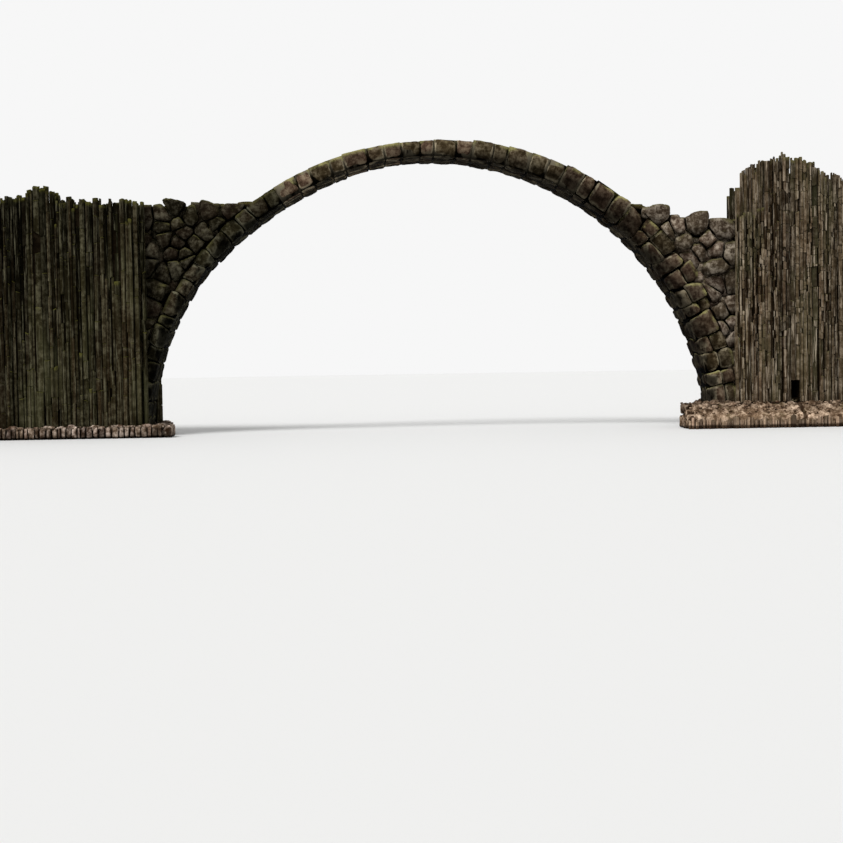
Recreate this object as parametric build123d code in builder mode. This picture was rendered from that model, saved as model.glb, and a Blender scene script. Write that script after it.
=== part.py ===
"""Moon bridge: a round arch of rough basalt blocks between two abutments clad in basalt columns.

The part stands in still water. Its origin is on the water surface, under the crown of the arch,
X runs along the bridge and Y across it. Everything is drawn from the water surface up, in millimetres.
"""

import os
from math import asin, atan2, cos, degrees, radians, sin, sqrt

from build123d import *

# Round arch
arch_radius = 10000        # clear radius of the arch
arch_centre_drop = 400     # the arch centre lies this far under the water surface
arch_width = 2000          # across the bridge
ring_depth_crown = 580     # thickness of the ring of blocks at the crown
ring_depth_right = 940     # thickness of its right-hand half, from the haunch down
ring_depth_left = 500      # thickness of its left-hand half, from the haunch down
ring_haunch = 6600         # the haunches are this far from the crown
blocks_each_sector = 8     # three sectors on each side of the keystone
block_arris = 45           # broken edge of each block
block_sizes = (1.0, 1.3, 0.8, 1.15, 0.9, 1.25, 0.75, 1.05, 0.95)   # rhythm of the block lengths
block_rises = (0, 70, -40, 45, 10, -25, 60)                        # how far blocks stand out on top
block_insets = (10, 60, 25, 0, 45, 15, 70, 30)                     # how far blocks stand back at the face

# Walkway and spandrels
deck_drop_right = 2250     # the walkway over the abutment lies this far under the crown of the opening
deck_drop_left = 1550
walkway_thickness = 150
spandrel_wall = 550        # thickness of the boulder walls beside the fill
spandrel_foot = 130        # spandrel masonry left at the water, behind the blocks that stand out most
shoulder_bury = 410        # the walkway starts this deep in the ring

# Slope of the walkway from the ring down to its level stretch: way from the ring, and rise over that level
shoulder_right = ((0, 700), (1050, 630), (1560, 540), (1950, 360), (2350, 230), (3000, 90), (3600, 0))
shoulder_left = ((0, 150), (700, 110), (1600, 40), (2800, 0))

# Abutments
abutment_setback_right = 900   # masonry face on the arch side, behind the foot of the opening
abutment_setback_left = 250
abutment_reach = 6230      # the masonry ends this far behind the foot of the opening
abutment_width = 3000      # masonry across the bridge

# Basalt columns that clad the abutments
column_pitch = 220
column_joint = 10          # open joint between neighbours
column_sizes = (1.0, 1.2, 0.85, 1.1, 0.9, 1.05, 0.8, 1.15)
column_tops = (0, 90, -60, 150, 30, -110, 60, -20, 120)            # unevenly broken tops
column_slants = (0.25, -0.15, 0.4, 0.1, -0.35, 0.2)                # slope of the broken tops
tier_length = 1170         # a low tier of cladding on the long sides, on the arch side of the tall columns
tier_rise = 150            # the low tier stands over the walkway by this much
end_drop = 250             # columns under the end of the walkway stay this far under it at most
inner_rise_front = 950     # columns beside the mouth of the arch, on the right: rise over the walkway
inner_rise_back = 60
inner_rise_left = 60       # on the left, at the front and the back
toe_top = 2350             # a second, low row of columns stands before the left-hand ones

# Tall columns beside the walkway: way from the masonry's arch side, and rise over the walkway
tall_pitch = 200
tall_rows = 2
tall_profile_front = ((0, 1700), (600, 1800), (1100, 2100), (1500, 2100), (2100, 1950), (2600, 1750),
                      (2900, 1450), (3500, 1350), (5300, 1150))
tall_profile_back = ((200, 1300), (700, 1200), (800, 1800), *tall_profile_front[2:])
tall_profile_left = ((0, 60), (2300, 100), (2600, 500), (3400, 550), (3800, 250), (6000, 200))

# Plinths at the water
plinth_reach_front = 1300  # the right-hand plinth runs out this far past the foot of the opening
plinth_reach_back = 100
plinth_height = 860        # at the foot of the columns
plinth_width = 4900        # across the bridge, without its kerb of column stubs
kerb_height = 440          # the top of the plinth falls to this height at the kerb
kerb_pitch = 220
kerb_tops = (30, -15, 50, 0, 20, -30, 40)
gully_depth = 90           # gully from the outlet across the plinth, under the top of the kerb
footing_reach_front = 1060 # the left-hand footing runs out this far past the foot of the opening
footing_reach_back = 550
footing_height = 400
footing_width = 3900

# Water outlet in the front of the right-hand abutment
outlet_place = 1620        # from the masonry face on the arch side
outlet_width = 320
outlet_sill = 990
outlet_height = 620
outlet_depth = 700
outlet_channel = 100       # open groove that runs down from the outlet between the columns

right, left = 1, -1        # the two sides, as the sign of their X
sides = {"right": right, "left": left}
ring_depths = {right: ring_depth_right, left: ring_depth_left}
shoulders = {right: shoulder_right, left: shoulder_left}
tall_profiles = {
    (right, "front"): tall_profile_front,
    (right, "back"): tall_profile_back,
    (left, "front"): tall_profile_left,
    (left, "back"): tall_profile_left,
}
inner_rises = {
    (right, "front"): inner_rise_front,
    (right, "back"): inner_rise_back,
    (left, "front"): inner_rise_left,
    (left, "back"): inner_rise_left,
}
base_heights = {right: plinth_height, left: footing_height}

half_arch = arch_width / 2
half_abutment = abutment_width / 2
crown_level = arch_radius - arch_centre_drop
deck_levels = {right: crown_level - deck_drop_right, left: crown_level - deck_drop_left}
bed_levels = {side: level - walkway_thickness for side, level in deck_levels.items()}
pocket_x = arch_radius + max(ring_depths.values()) + max(block_rises) + spandrel_foot
abutment_starts = {right: arch_radius + abutment_setback_right, left: arch_radius + abutment_setback_left}
outlet_x = abutment_starts[right] + outlet_place
flat_share = cos(radians(30))                 # flat to flat of a six-sided column, by its width
column_depth = column_pitch                   # room for the widest column in front of the masonry
clad_front = half_abutment + column_depth
abutment_end = arch_radius + abutment_reach
bridge_end = abutment_end + column_depth
outlet_end = outlet_x + outlet_width
outlet_head = outlet_sill + outlet_height
level_top = (0,)
level_cut = (0,)

sector_names = ("right_foot", "right_haunch", "right_crown", "left_crown", "left_haunch", "left_foot")
keystone_index = blocks_each_sector * len(sector_names) // 2
block_count = 2 * keystone_index + 1

os.makedirs("parts", exist_ok=True)


def cycle(rhythm, index):
    """A value of a rhythm that repeats."""
    return rhythm[index % len(rhythm)]


def on_profile(profile, place):
    """The height of a profile of straight stretches at one place along it."""
    for (start, low), (end, high) in zip(profile, profile[1:]):
        if place <= end:
            return low + (high - low) * max(place - start, 0) / (end - start)
    return profile[-1][1]


def export(builder, name):
    """Label one finished piece and write it."""
    builder.part.label = name
    export_step(builder.part, f"parts/{name}.step")


def on_ring(radius, angle):
    """The place in the XZ plane at a radius and an angle from the arch centre."""
    return (radius * cos(radians(angle)), radius * sin(radians(angle)) - arch_centre_drop)


def at_water(radius, side):
    """The place where a circle around the arch centre meets the water."""
    return (side * sqrt(radius**2 - arch_centre_drop**2), 0)


def joint_angles():
    """Angles of the joints in the ring, from the right-hand foot to the left-hand one."""
    foot_angle = degrees(asin(arch_centre_drop / arch_radius))
    sizes = [cycle(block_sizes, index) for index in range(block_count)]
    angles = [foot_angle]
    for size in sizes:
        angles.append(angles[-1] + (180 - 2 * foot_angle) * size / sum(sizes))
    return angles


joints = joint_angles()


def block_outline(index):
    """The four corners of one wedge block, seen from the front. The foot blocks stand level."""
    low, high = joints[index], joints[index + 1]
    from_crown = arch_radius * cos(radians((low + high) / 2))
    side_depth = ring_depths[right if from_crown > 0 else left]
    share = min(1, abs(from_crown) / ring_haunch)
    depth = ring_depth_crown + (side_depth - ring_depth_crown) * share
    back = arch_radius + depth + cycle(block_rises, index)
    corners = [on_ring(arch_radius, low), on_ring(back, low), on_ring(back, high), on_ring(arch_radius, high)]
    if index == 0:
        corners[0], corners[1] = at_water(arch_radius, 1), at_water(back, 1)
    if index == block_count - 1:
        corners[3], corners[2] = at_water(arch_radius, -1), at_water(back, -1)
    return corners


def block(index):
    """One rough block of the ring, with broken arrises."""
    with BuildPart() as stone:
        with BuildSketch(Plane.XZ):
            Polygon(*block_outline(index), align=None)
        extrude(amount=half_arch - cycle(block_insets, index), both=True)
        chamfer(stone.edges(), length=block_arris)
    return stone.part


def blocks(name, indices):
    """Blocks of the ring that share no joint, as one piece of the part."""
    with BuildPart() as stones:
        add([block(index) for index in indices])
    export(stones, name)


for number, sector in enumerate(sector_names):
    first = number * blocks_each_sector + (1 if number * blocks_each_sector >= keystone_index else 0)
    sector_blocks = range(first, first + blocks_each_sector)
    blocks(f"voussoirs_{sector}_a", sector_blocks[0::2])
    blocks(f"voussoirs_{sector}_b", sector_blocks[1::2])
blocks("keystone", [keystone_index])


def cut_ring(side):
    """Take the blocks of one half of the ring out of the sketch, so that it beds on them."""
    half = range(keystone_index) if side > 0 else range(keystone_index + 1, block_count)
    for index in half:
        Polygon(*block_outline(index), align=None, mode=Mode.SUBTRACT)


def largest(profile):
    """The main face of a sketch, without slivers between two blocks that stand out unevenly."""
    return profile.sketch.faces().sort_by(SortBy.AREA)[-1]


def shoulder_line(side, drop):
    """Points of the walkway's slope down from the ring, lowered by a drop."""
    shoulder = shoulders[side]
    height = deck_levels[side] + arch_centre_drop + shoulder[0][1]
    start = sqrt((arch_radius + shoulder_bury)**2 - height**2)
    return [(side * (start + way), deck_levels[side] + rise - drop) for way, rise in shoulder]


def spandrel(name, side, front, back):
    """The masonry between the ring and the abutment, between two depths across the bridge."""
    inside = arch_radius + min(ring_depths.values()) / 2
    slope = shoulder_line(side, walkway_thickness)
    top_angle = degrees(atan2(slope[0][1] + arch_centre_drop, slope[0][0]))
    foot = at_water(inside, side)
    haunch = on_ring(inside, (top_angle + (0 if side > 0 else 180)) / 2)
    with BuildPart() as masonry:
        with BuildSketch(Plane.XZ.offset(-back)) as profile:
            with BuildLine():
                ThreePointArc(foot, haunch, on_ring(inside, top_angle))
                Polyline(
                    on_ring(inside, top_angle),
                    *slope,
                    (side * pocket_x, bed_levels[side]),
                    (side * pocket_x, 0),
                    foot,
                )
            make_face()
            cut_ring(side)
        extrude(largest(profile), amount=back - front)
    export(masonry, name)


def walkway(name, side):
    """The paving from the ring over the spandrel to the end of the bridge."""
    with BuildPart() as paving:
        with BuildSketch(Plane.XZ) as profile:
            with BuildLine():
                Polyline(
                    *shoulder_line(side, 0),
                    (side * bridge_end, deck_levels[side]),
                    (side * bridge_end, bed_levels[side]),
                    *reversed(shoulder_line(side, walkway_thickness)),
                    close=True,
                )
            make_face()
            cut_ring(side)
        extrude(largest(profile), amount=half_arch, both=True)
    export(paving, name)


def abutment(name, side, outlet):
    """The block of masonry behind the columns, with a pocket for the spandrel and the water outlet."""
    start = abutment_starts[side]
    with BuildPart() as core:
        with BuildSketch(Plane.XY):
            with Locations((side * (start + abutment_end) / 2, 0)):
                Rectangle(abutment_end - start, abutment_width)
            with Locations((side * (start + pocket_x) / 2, 0)):
                Rectangle(pocket_x - start, arch_width, mode=Mode.SUBTRACT)
        extrude(amount=bed_levels[side])
        if outlet:
            with BuildSketch(Plane.XZ.offset(half_abutment)):
                with Locations((side * (outlet_x + outlet_width / 2), outlet_sill + outlet_height / 2)):
                    Rectangle(outlet_width, outlet_height)
            extrude(amount=-outlet_depth, mode=Mode.SUBTRACT)
    export(core, name)


inner_wall = half_arch - spandrel_wall
for side_name, side in sides.items():
    spandrel(f"spandrel_wall_front_{side_name}", side, -half_arch, -inner_wall)
    spandrel(f"spandrel_fill_{side_name}", side, -inner_wall, inner_wall)
    spandrel(f"spandrel_wall_back_{side_name}", side, inner_wall, half_arch)
    walkway(f"walkway_{side_name}", side)
    abutment(f"abutment_{side_name}", side, outlet=side_name == "right")


def column(row, place, width, bottom, top, slant):
    """One six-sided column with a flat against the line of its row and a broken, sloping top."""
    radius = (width - column_joint) / 2
    middle = row.from_local_coords((place, -radius * flat_share, top))
    with BuildPart() as shaft:
        with BuildSketch(row.offset(bottom)):
            with Locations((place, -radius * flat_share)):
                RegularPolygon(radius, side_count=6)
        extrude(amount=top - bottom + width)
        split(bisect_by=Plane(origin=middle, z_dir=(slant, slant / 2, 1)), keep=Keep.BOTTOM)
    return shaft.part


def row_of_columns(row, start, end, pitch, bottom, top_at, tops=column_tops, slants=column_slants, shift=0):
    """Columns side by side from the start to the end of a stretch of a row."""
    count = max(1, round((end - start) / pitch))
    sizes = [cycle(column_sizes, index + shift) for index in range(count)]
    columns = []
    edge = start
    for index, size in enumerate(sizes):
        width = (end - start) * size / sum(sizes)
        middle = edge + width / 2
        top = top_at(middle) + cycle(tops, index + shift)
        columns.append(column(row, middle, width, bottom, top, cycle(slants, index + shift)))
        edge += width
    return columns


def standing(name, columns, side, back=False):
    """Columns drawn for the front of the right-hand side, mirrored to where they stand."""
    with BuildPart() as drawn:
        add(columns)
    with BuildPart() as placed:
        if side < 0:
            mirror(drawn.part, about=Plane.YZ)
        else:
            add(drawn.part)
    if not back:
        export(placed, name)
        return
    with BuildPart() as behind:
        mirror(placed.part, about=Plane.XZ)
    export(behind, name)


def front_row(depth):
    """The line of a row that faces the front, at a depth from the middle of the bridge."""
    return Plane(origin=(0, -depth, 0), x_dir=(1, 0, 0), z_dir=(0, 0, 1))


def end_columns(side):
    """Columns on the end face, from side to side. Under the walkway they stop at the paving."""
    row = Plane(origin=(abutment_end, 0, 0), x_dir=(0, 1, 0), z_dir=(0, 0, 1))

    def top_at(place):
        under_walkway = abs(place) < half_arch + column_pitch
        return bed_levels[side] - end_drop if under_walkway else deck_levels[side]

    return row_of_columns(row, -half_abutment, half_abutment, column_pitch, 0, top_at)


def clad_top(side, face, place):
    """Height of the cladding on the long sides: a low tier by the arch, then as tall as the row behind."""
    way = place - abutment_starts[side]
    rise = tier_rise if way < tier_length - column_depth else on_profile(tall_profiles[side, face], way)
    return deck_levels[side] + rise


def cladding(side, face, bottom, shift, outlet):
    """Columns along one long side, drawn at the front."""
    row = front_row(half_abutment)
    start = abutment_starts[side] - column_depth

    def stretch(low, high, foot, turn):
        top_at = lambda place: clad_top(side, face, place)
        return row_of_columns(row, low, high, column_pitch, foot, top_at, shift=turn)

    if not outlet:
        return stretch(start, bridge_end, bottom, shift)
    sill_columns = row_of_columns(row, outlet_x, outlet_end - outlet_channel, column_pitch, bottom,
                                  lambda place: outlet_sill, tops=level_top, slants=level_cut)
    return (
        stretch(start, outlet_x, bottom, shift)
        + sill_columns
        + stretch(outlet_x, outlet_end, outlet_head, shift)
        + stretch(outlet_end, bridge_end, bottom, shift + 3)
    )


def tall_columns(side, face, shift):
    """Two rows of tall broken columns beside the walkway, drawn at the front."""
    profile = tall_profiles[side, face]
    masonry = abutment_starts[side]
    start = masonry + profile[0][0]
    room = (half_abutment - half_arch) / tall_rows
    columns = []
    for row_index in range(tall_rows):
        row = front_row(half_arch + row_index * room)
        top_at = lambda place: deck_levels[side] + on_profile(profile, place - masonry)
        columns += row_of_columns(row, start, abutment_end, tall_pitch, bed_levels[side], top_at,
                                  shift=shift + 5 * row_index)
    return columns


def inner_columns(side, face, bottom):
    """Columns on the short face beside the mouth of the arch, drawn at the front."""

    def stretch(distance, top):
        row = Plane(origin=(abutment_starts[side] - distance, 0, 0), x_dir=(0, -1, 0), z_dir=(0, 0, 1))
        return row_of_columns(row, half_arch, half_abutment, column_pitch, bottom, lambda place: top)

    columns = stretch(0, deck_levels[side] + inner_rises[side, face])
    if side == left:
        columns += stretch(column_depth, toe_top)
    return columns


def base_outline(side, start, width):
    """Plan of a base beside the ring and the masonry on the front."""
    masonry = abutment_starts[side]
    return [
        (side * start, -half_arch),
        (side * masonry, -half_arch),
        (side * masonry, -half_abutment),
        (side * bridge_end, -half_abutment),
        (side * bridge_end, -width / 2),
        (side * start, -width / 2),
    ]


def base(name, side, start, width, edge_height, gully, back):
    """A low base along one long side. Its top is level under the columns and falls to its edge."""
    height = base_heights[side]
    with BuildPart() as drawn:
        with BuildSketch(Plane.XY):
            Polygon(*base_outline(side, start, width), align=None)
        extrude(amount=height)
        if edge_height < height:
            with BuildSketch(Plane.YZ):
                Polygon((-clad_front, height), (-width / 2, height), (-width / 2, edge_height), align=None)
            extrude(amount=side * bridge_end, mode=Mode.SUBTRACT)
        if gully:
            with BuildSketch(Plane.XZ.offset(width / 2)):
                with Locations((side * (outlet_end - outlet_channel / 2), height)):
                    Rectangle(outlet_channel, 2 * (height - edge_height + gully_depth))
            extrude(amount=clad_front - width / 2, mode=Mode.SUBTRACT)
    if not back:
        export(drawn, name)
        return
    with BuildPart() as behind:
        mirror(drawn.part, about=Plane.XZ)
    export(behind, name)


for side_name, side in sides.items():
    bottom = base_heights[side]
    for face in ("front", "back"):
        behind = face == "back"
        shift = 4 * behind + 2 * (side == left)
        has_outlet = side == right and not behind
        standing(f"columns_{face}_{side_name}", cladding(side, face, bottom, shift, has_outlet), side, behind)
        standing(f"tall_columns_{face}_{side_name}", tall_columns(side, face, shift), side, behind)
        standing(f"inner_columns_{face}_{side_name}", inner_columns(side, face, bottom), side, behind)
    standing(f"end_columns_{side_name}", end_columns(side), side)

plinth_reaches = {"front": plinth_reach_front, "back": plinth_reach_back}
footing_reaches = {"front": footing_reach_front, "back": footing_reach_back}
for face in ("front", "back"):
    behind = face == "back"
    plinth_start = arch_radius - plinth_reaches[face]
    footing_start = arch_radius - footing_reaches[face]
    base(f"plinth_{face}_right", right, plinth_start, plinth_width, kerb_height, not behind, behind)
    base(f"footing_{face}_left", left, footing_start, footing_width, footing_height, False, behind)
    stubs = row_of_columns(front_row(plinth_width / 2), plinth_start, bridge_end, kerb_pitch, 0,
                           lambda place: kerb_height, tops=kerb_tops, slants=level_cut)
    standing(f"kerb_stubs_{face}_right", stubs, right, behind)
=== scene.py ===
"""Moon bridge: rough basalt blocks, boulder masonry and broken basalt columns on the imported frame."""

import logging
from collections.abc import Callable, Sequence
from dataclasses import dataclass, field, replace
from enum import Enum, IntEnum
from functools import lru_cache
from math import atan2, cos, degrees, hypot, pi, radians, sin

import bmesh
import bpy
import numpy as np
from bmesh.types import BMesh
from mathutils import Matrix, Vector, noise
from mathutils.bvhtree import BVHTree


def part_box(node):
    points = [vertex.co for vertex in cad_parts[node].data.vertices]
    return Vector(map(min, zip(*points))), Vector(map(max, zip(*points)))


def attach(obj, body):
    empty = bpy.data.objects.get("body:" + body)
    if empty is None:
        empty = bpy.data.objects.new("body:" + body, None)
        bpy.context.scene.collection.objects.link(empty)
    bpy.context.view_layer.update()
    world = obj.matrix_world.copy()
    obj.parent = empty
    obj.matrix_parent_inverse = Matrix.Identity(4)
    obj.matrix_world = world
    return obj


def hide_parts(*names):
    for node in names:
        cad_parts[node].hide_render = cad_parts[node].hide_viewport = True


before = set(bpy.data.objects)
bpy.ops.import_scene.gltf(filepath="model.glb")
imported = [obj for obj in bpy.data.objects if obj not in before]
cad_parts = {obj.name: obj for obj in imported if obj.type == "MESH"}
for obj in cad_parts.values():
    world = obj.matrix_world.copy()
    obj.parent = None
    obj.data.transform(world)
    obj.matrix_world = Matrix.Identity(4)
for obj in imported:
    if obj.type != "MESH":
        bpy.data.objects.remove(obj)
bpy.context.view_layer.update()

LOG = logging.getLogger("moon_bridge")

# The circle that the ring follows, in metres, and the angle of its crown in degrees
ARCH_RADIUS = 10.0
ARCH_CENTRE = Vector((0.0, 0.0, -0.4))
HALF_ARCH = 1.0
CROWN_ANGLE = 90.0

UP = Vector((0.0, 0.0, 1.0))
ALONG = Vector((1.0, 0.0, 0.0))
ACROSS = Vector((0.0, 1.0, 0.0))
ON_BASE = Vector((0.0, 0.0, 0.0))

# Corners closer than this are one, and rays that look for a top start this high, in metres
MERGE_DISTANCE = 1e-4
RAY_HEIGHT = 50.0

# The span that noise is shifted over, and the tries that spread points over a region
NOISE_SPAN = 50.0
SPREAD_TRIES = 9000

# How far apart the seeds of the two sides and of the two faces are
SIDE_SEEDS = 7
FACE_SEEDS = 3

Colour = tuple[float, float, float, float]
Socket = bpy.types.NodeSocket
Value = Socket | float
Tone = Socket | Colour


class Side(Enum):
    """The two abutments, by the sign of their X."""

    RIGHT = 1
    LEFT = -1

    @property
    def label(self) -> str:
        """The word that the frame's node names use."""
        return self.name.lower()


class Face(Enum):
    """The two long faces of the bridge, by the sign of their Y."""

    FRONT = -1
    BACK = 1

    @property
    def label(self) -> str:
        """The word that the frame's node names use."""
        return self.name.lower()


def seed_of(start: int, side: Side, face: Face) -> int:
    """The seed for what stands at one side and face, counted from a start."""
    return start + SIDE_SEEDS * side.value + FACE_SEEDS * face.value


def held(value: float) -> float:
    """A number held between 0 and 1."""
    return min(1.0, max(0.0, value))


def srgb(red: int, green: int, blue: int) -> Colour:
    """A colour written as a paint chart gives it, as the linear value that shaders take.

    Args:
        red: Red from 0 to 255.
        green: Green from 0 to 255.
        blue: Blue from 0 to 255.

    Returns:
        Linear red, green, blue and an opaque alpha.
    """
    linear = [(part / 255) ** 2.2 for part in (red, green, blue)]
    return (*linear, 1.0)


# Shader groups that several finishes share

# A Mix node's sockets for colours, by number, because those for plain values have the same names
MIX_SHARE, MIX_FIRST, MIX_SECOND, MIX_RESULT = 0, 6, 7, 2


class ShaderGraph:
    """A small helper that adds nodes to a tree and links them in reading order."""

    def __init__(self, tree: bpy.types.NodeTree) -> None:
        """Keep the tree that the nodes go into."""
        self.tree = tree

    def add(self, kind: str, values: dict | None = None, **settings: object) -> bpy.types.Node:
        """Add one node.

        Args:
            kind: The node's type.
            values: Input values or source sockets by input name or number.
            **settings: Node properties to set before its inputs.

        Returns:
            The new node.
        """
        node = self.tree.nodes.new(kind)
        for name, value in settings.items():
            setattr(node, name, value)
        for key, value in (values or {}).items():
            if isinstance(value, Socket):
                self.tree.links.new(value, node.inputs[key])
            else:
                node.inputs[key].default_value = value
        return node

    def link(self, node: bpy.types.Node, results: dict[str, Socket]) -> None:
        """Link results to a node's inputs by their names."""
        for name, result in results.items():
            self.tree.links.new(result, node.inputs[name])

    def math(self, operation: str, first: Value, second: Value) -> Socket:
        """A Math node's result."""
        return self.add("ShaderNodeMath", {0: first, 1: second}, operation=operation).outputs[0]

    def times(self, first: Value, second: Value) -> Socket:
        """The product of two values."""
        return self.math("MULTIPLY", first, second)

    def plus(self, first: Value, second: Value, share: float = 1.0) -> Socket:
        """A value with a share of a second one added."""
        return self.math("ADD", first, second if share == 1.0 else self.times(second, share))

    def smooth(self, value: Value, low: float, high: float, amount: Value | None = None) -> Socket:
        """A smooth step between two values.

        Args:
            value: The value that it follows.
            low: The value where it is 0.
            high: The value where it is 1.
            amount: What it is multiplied by, where that is given.

        Returns:
            The step's result.
        """
        values = {"Value": value, "From Min": low, "From Max": high}
        step = self.add("ShaderNodeMapRange", values, interpolation_type="SMOOTHSTEP").outputs["Result"]
        return step if amount is None else self.times(step, amount)

    def blend(self, share: Value, first: Tone, second: Tone, mode: str = "MIX") -> Socket:
        """Two colours mixed by a share."""
        values = {MIX_SHARE: share, MIX_FIRST: first, MIX_SECOND: second}
        return self.add("ShaderNodeMix", values, data_type="RGBA", blend_type=mode).outputs[MIX_RESULT]

    def place(self, scale: Sequence[float] = (1.0, 1.0, 1.0)) -> Socket:
        """Object coordinates, stretched by a scale."""
        coordinates = self.add("ShaderNodeTexCoord").outputs["Object"]
        return self.add("ShaderNodeMapping", {"Vector": coordinates, "Scale": scale}).outputs[0]

    def noise(self, vector: Socket, scale: float, detail: float = 4.0, roughness: float = 0.55) -> Socket:
        """A noise value between 0 and 1."""
        values = {"Vector": vector, "Scale": scale, "Detail": detail, "Roughness": roughness}
        return self.add("ShaderNodeTexNoise", values).outputs["Fac"]

    def attribute(self, name: str) -> Socket:
        """A number stored on the mesh."""
        return self.add("ShaderNodeAttribute", attribute_name=name).outputs["Fac"]


@dataclass(frozen=True)
class Effect:
    """A shader node group with named inputs and outputs, built once."""

    name: str
    inputs: tuple[tuple[str, str, Colour | float], ...]
    outputs: tuple[tuple[str, str], ...]
    wire: Callable[[ShaderGraph, bpy.types.Node, bpy.types.Node], None]

    def tree(self) -> bpy.types.NodeTree:
        """The group's node tree, built at its first use.

        Returns:
            The tree, wired from its inputs to its outputs.
        """
        known = bpy.data.node_groups.get(self.name)
        if known:
            return known
        tree = bpy.data.node_groups.new(self.name, "ShaderNodeTree")
        for label, kind, value in self.inputs:
            socket = tree.interface.new_socket(label, in_out="INPUT", socket_type=kind)
            socket.default_value = value
        for label, kind in self.outputs:
            tree.interface.new_socket(label, in_out="OUTPUT", socket_type=kind)
        graph = ShaderGraph(tree)
        self.wire(graph, graph.add("NodeGroupInput"), graph.add("NodeGroupOutput"))
        return tree

    def place(self, graph: ShaderGraph, values: dict) -> bpy.types.Node:
        """Put the group into a material with its own values."""
        return graph.add("ShaderNodeGroup", values, node_tree=self.tree())


NUMBER, COLOUR = "NodeSocketFloat", "NodeSocketColor"
GREY: Colour = (0.2, 0.2, 0.2, 1.0)

# Stretches that draw a noise out along the height of the bridge
LIME_STRETCH = (1.9, 1.9, 0.8)
DAMP_STRETCH = (1.0, 1.0, 0.3)
BROAD_STRETCH = (5.0, 5.0, 0.35)
FINE_STRETCH = (15.0, 15.0, 0.8)

# How much of a joint, of its lime and of a shaded side shows, at most
JOINT_AMOUNT = 0.9
SEAM_LIME = 0.8
SHADE_AMOUNT = 0.93

# The tone that multiplies the colour of the wet foot of the stone, which also carries painted shade
WET_SHADE_TONE: Colour = (0.16, 0.14, 0.12, 1.0)


def wire_basalt(graph: ShaderGraph, given: bpy.types.Node, result: bpy.types.Node) -> None:
    """Mottled basalt with patches, pits and grain, each stone its own tint, dark or limy joints, and painted
    shade where the mesh marks it.

    Args:
        graph: The group's graph.
        given: The node with the group's inputs.
        result: The node with the group's outputs.
    """
    source = given.outputs
    here = graph.place()
    patches = graph.noise(here, scale=1.1, detail=3.0)
    mottle = graph.noise(here, scale=5.0, detail=10.0, roughness=0.72)
    grain = graph.noise(here, scale=45.0, detail=5.0, roughness=0.75)
    joint = graph.attribute("joint")

    redness = graph.plus(graph.attribute("warmth"), patches, share=0.6)
    warm = graph.smooth(redness, low=0.55, high=1.2, amount=source["Warm Amount"])
    colour = graph.blend(warm, source["Body"], source["Warm"])
    dark = graph.smooth(mottle, low=0.6, high=0.34, amount=source["Dark Amount"])
    colour = graph.blend(dark, colour, source["Deep"])
    bloom = graph.plus(mottle, patches, share=0.4)
    pale = graph.smooth(bloom, low=0.64, high=0.92, amount=source["Pale Amount"])
    colour = graph.blend(pale, colour, source["Pale"])

    runs = graph.noise(graph.place(LIME_STRETCH), scale=1.0, detail=3.0)
    lime = graph.smooth(runs, low=0.46, high=0.55, amount=source["Lime Amount"])
    rim = graph.times(graph.smooth(joint, low=0.04, high=0.2), graph.smooth(mottle, low=0.34, high=0.54))
    colour = graph.blend(graph.times(rim, lime), colour, source["Pale"])
    hollow = graph.smooth(joint, low=0.5, high=0.9, amount=JOINT_AMOUNT)
    seam = graph.blend(graph.times(lime, SEAM_LIME), source["Deep"], source["Pale"])
    colour = graph.blend(hollow, colour, seam)

    spread = graph.times(graph.math("SUBTRACT", graph.attribute("tint"), 0.5), source["Tint Range"])
    level = graph.times(graph.plus(spread, 1.0), graph.plus(0.6, grain, share=0.8))
    # Painted shade: the mesh's shade number darkens the colour nearly to black
    lit = graph.math("SUBTRACT", 1.0, graph.times(graph.attribute("shade"), SHADE_AMOUNT))
    level = graph.times(level, lit)
    value = graph.add("ShaderNodeCombineColor", {0: level, 1: level, 2: level}).outputs[0]
    colour = graph.blend(1.0, colour, value, "MULTIPLY")

    height = graph.plus(graph.times(mottle, 0.7), grain, share=0.2)
    rough = graph.plus(0.75, mottle, share=0.2)
    graph.link(result, {"Color": colour, "Roughness": rough, "Height": height})


BASALT = Effect(
    "mottled_basalt",
    (("Deep", COLOUR, GREY), ("Body", COLOUR, GREY), ("Pale", COLOUR, GREY), ("Warm", COLOUR, GREY),
     ("Dark Amount", NUMBER, 0.6), ("Pale Amount", NUMBER, 0.5), ("Warm Amount", NUMBER, 0.5),
     ("Lime Amount", NUMBER, 0.5), ("Tint Range", NUMBER, 0.7)),
    (("Color", COLOUR), ("Roughness", NUMBER), ("Height", NUMBER)),
    wire_basalt,
)


def wire_streaks(graph: ShaderGraph, given: bpy.types.Node, result: bpy.types.Node) -> None:
    """Streaks down upright faces: green algae, dark stains, and narrow pale lines of lime.

    Args:
        graph: The group's graph.
        given: The node with the group's inputs.
        result: The node with the group's outputs.
    """
    source = given.outputs
    damp = graph.noise(graph.place(DAMP_STRETCH), scale=1.0, detail=3.0)
    broad = graph.noise(graph.place(BROAD_STRETCH), scale=1.0, detail=4.0, roughness=0.6)
    fine = graph.noise(graph.place(FINE_STRETCH), scale=1.0, detail=6.0, roughness=0.7)
    algae = graph.smooth(damp, low=0.48, high=0.62, amount=source["Algae Amount"])
    dark = graph.smooth(broad, low=0.52, high=0.68, amount=source["Dark Amount"])
    pale = graph.smooth(fine, low=0.53, high=0.64, amount=source["Pale Amount"])
    colour = graph.blend(algae, source["Color"], source["Algae"])
    colour = graph.blend(dark, colour, source["Dark"])
    colour = graph.blend(pale, colour, source["Pale"])
    graph.link(result, {"Color": colour})


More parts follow.
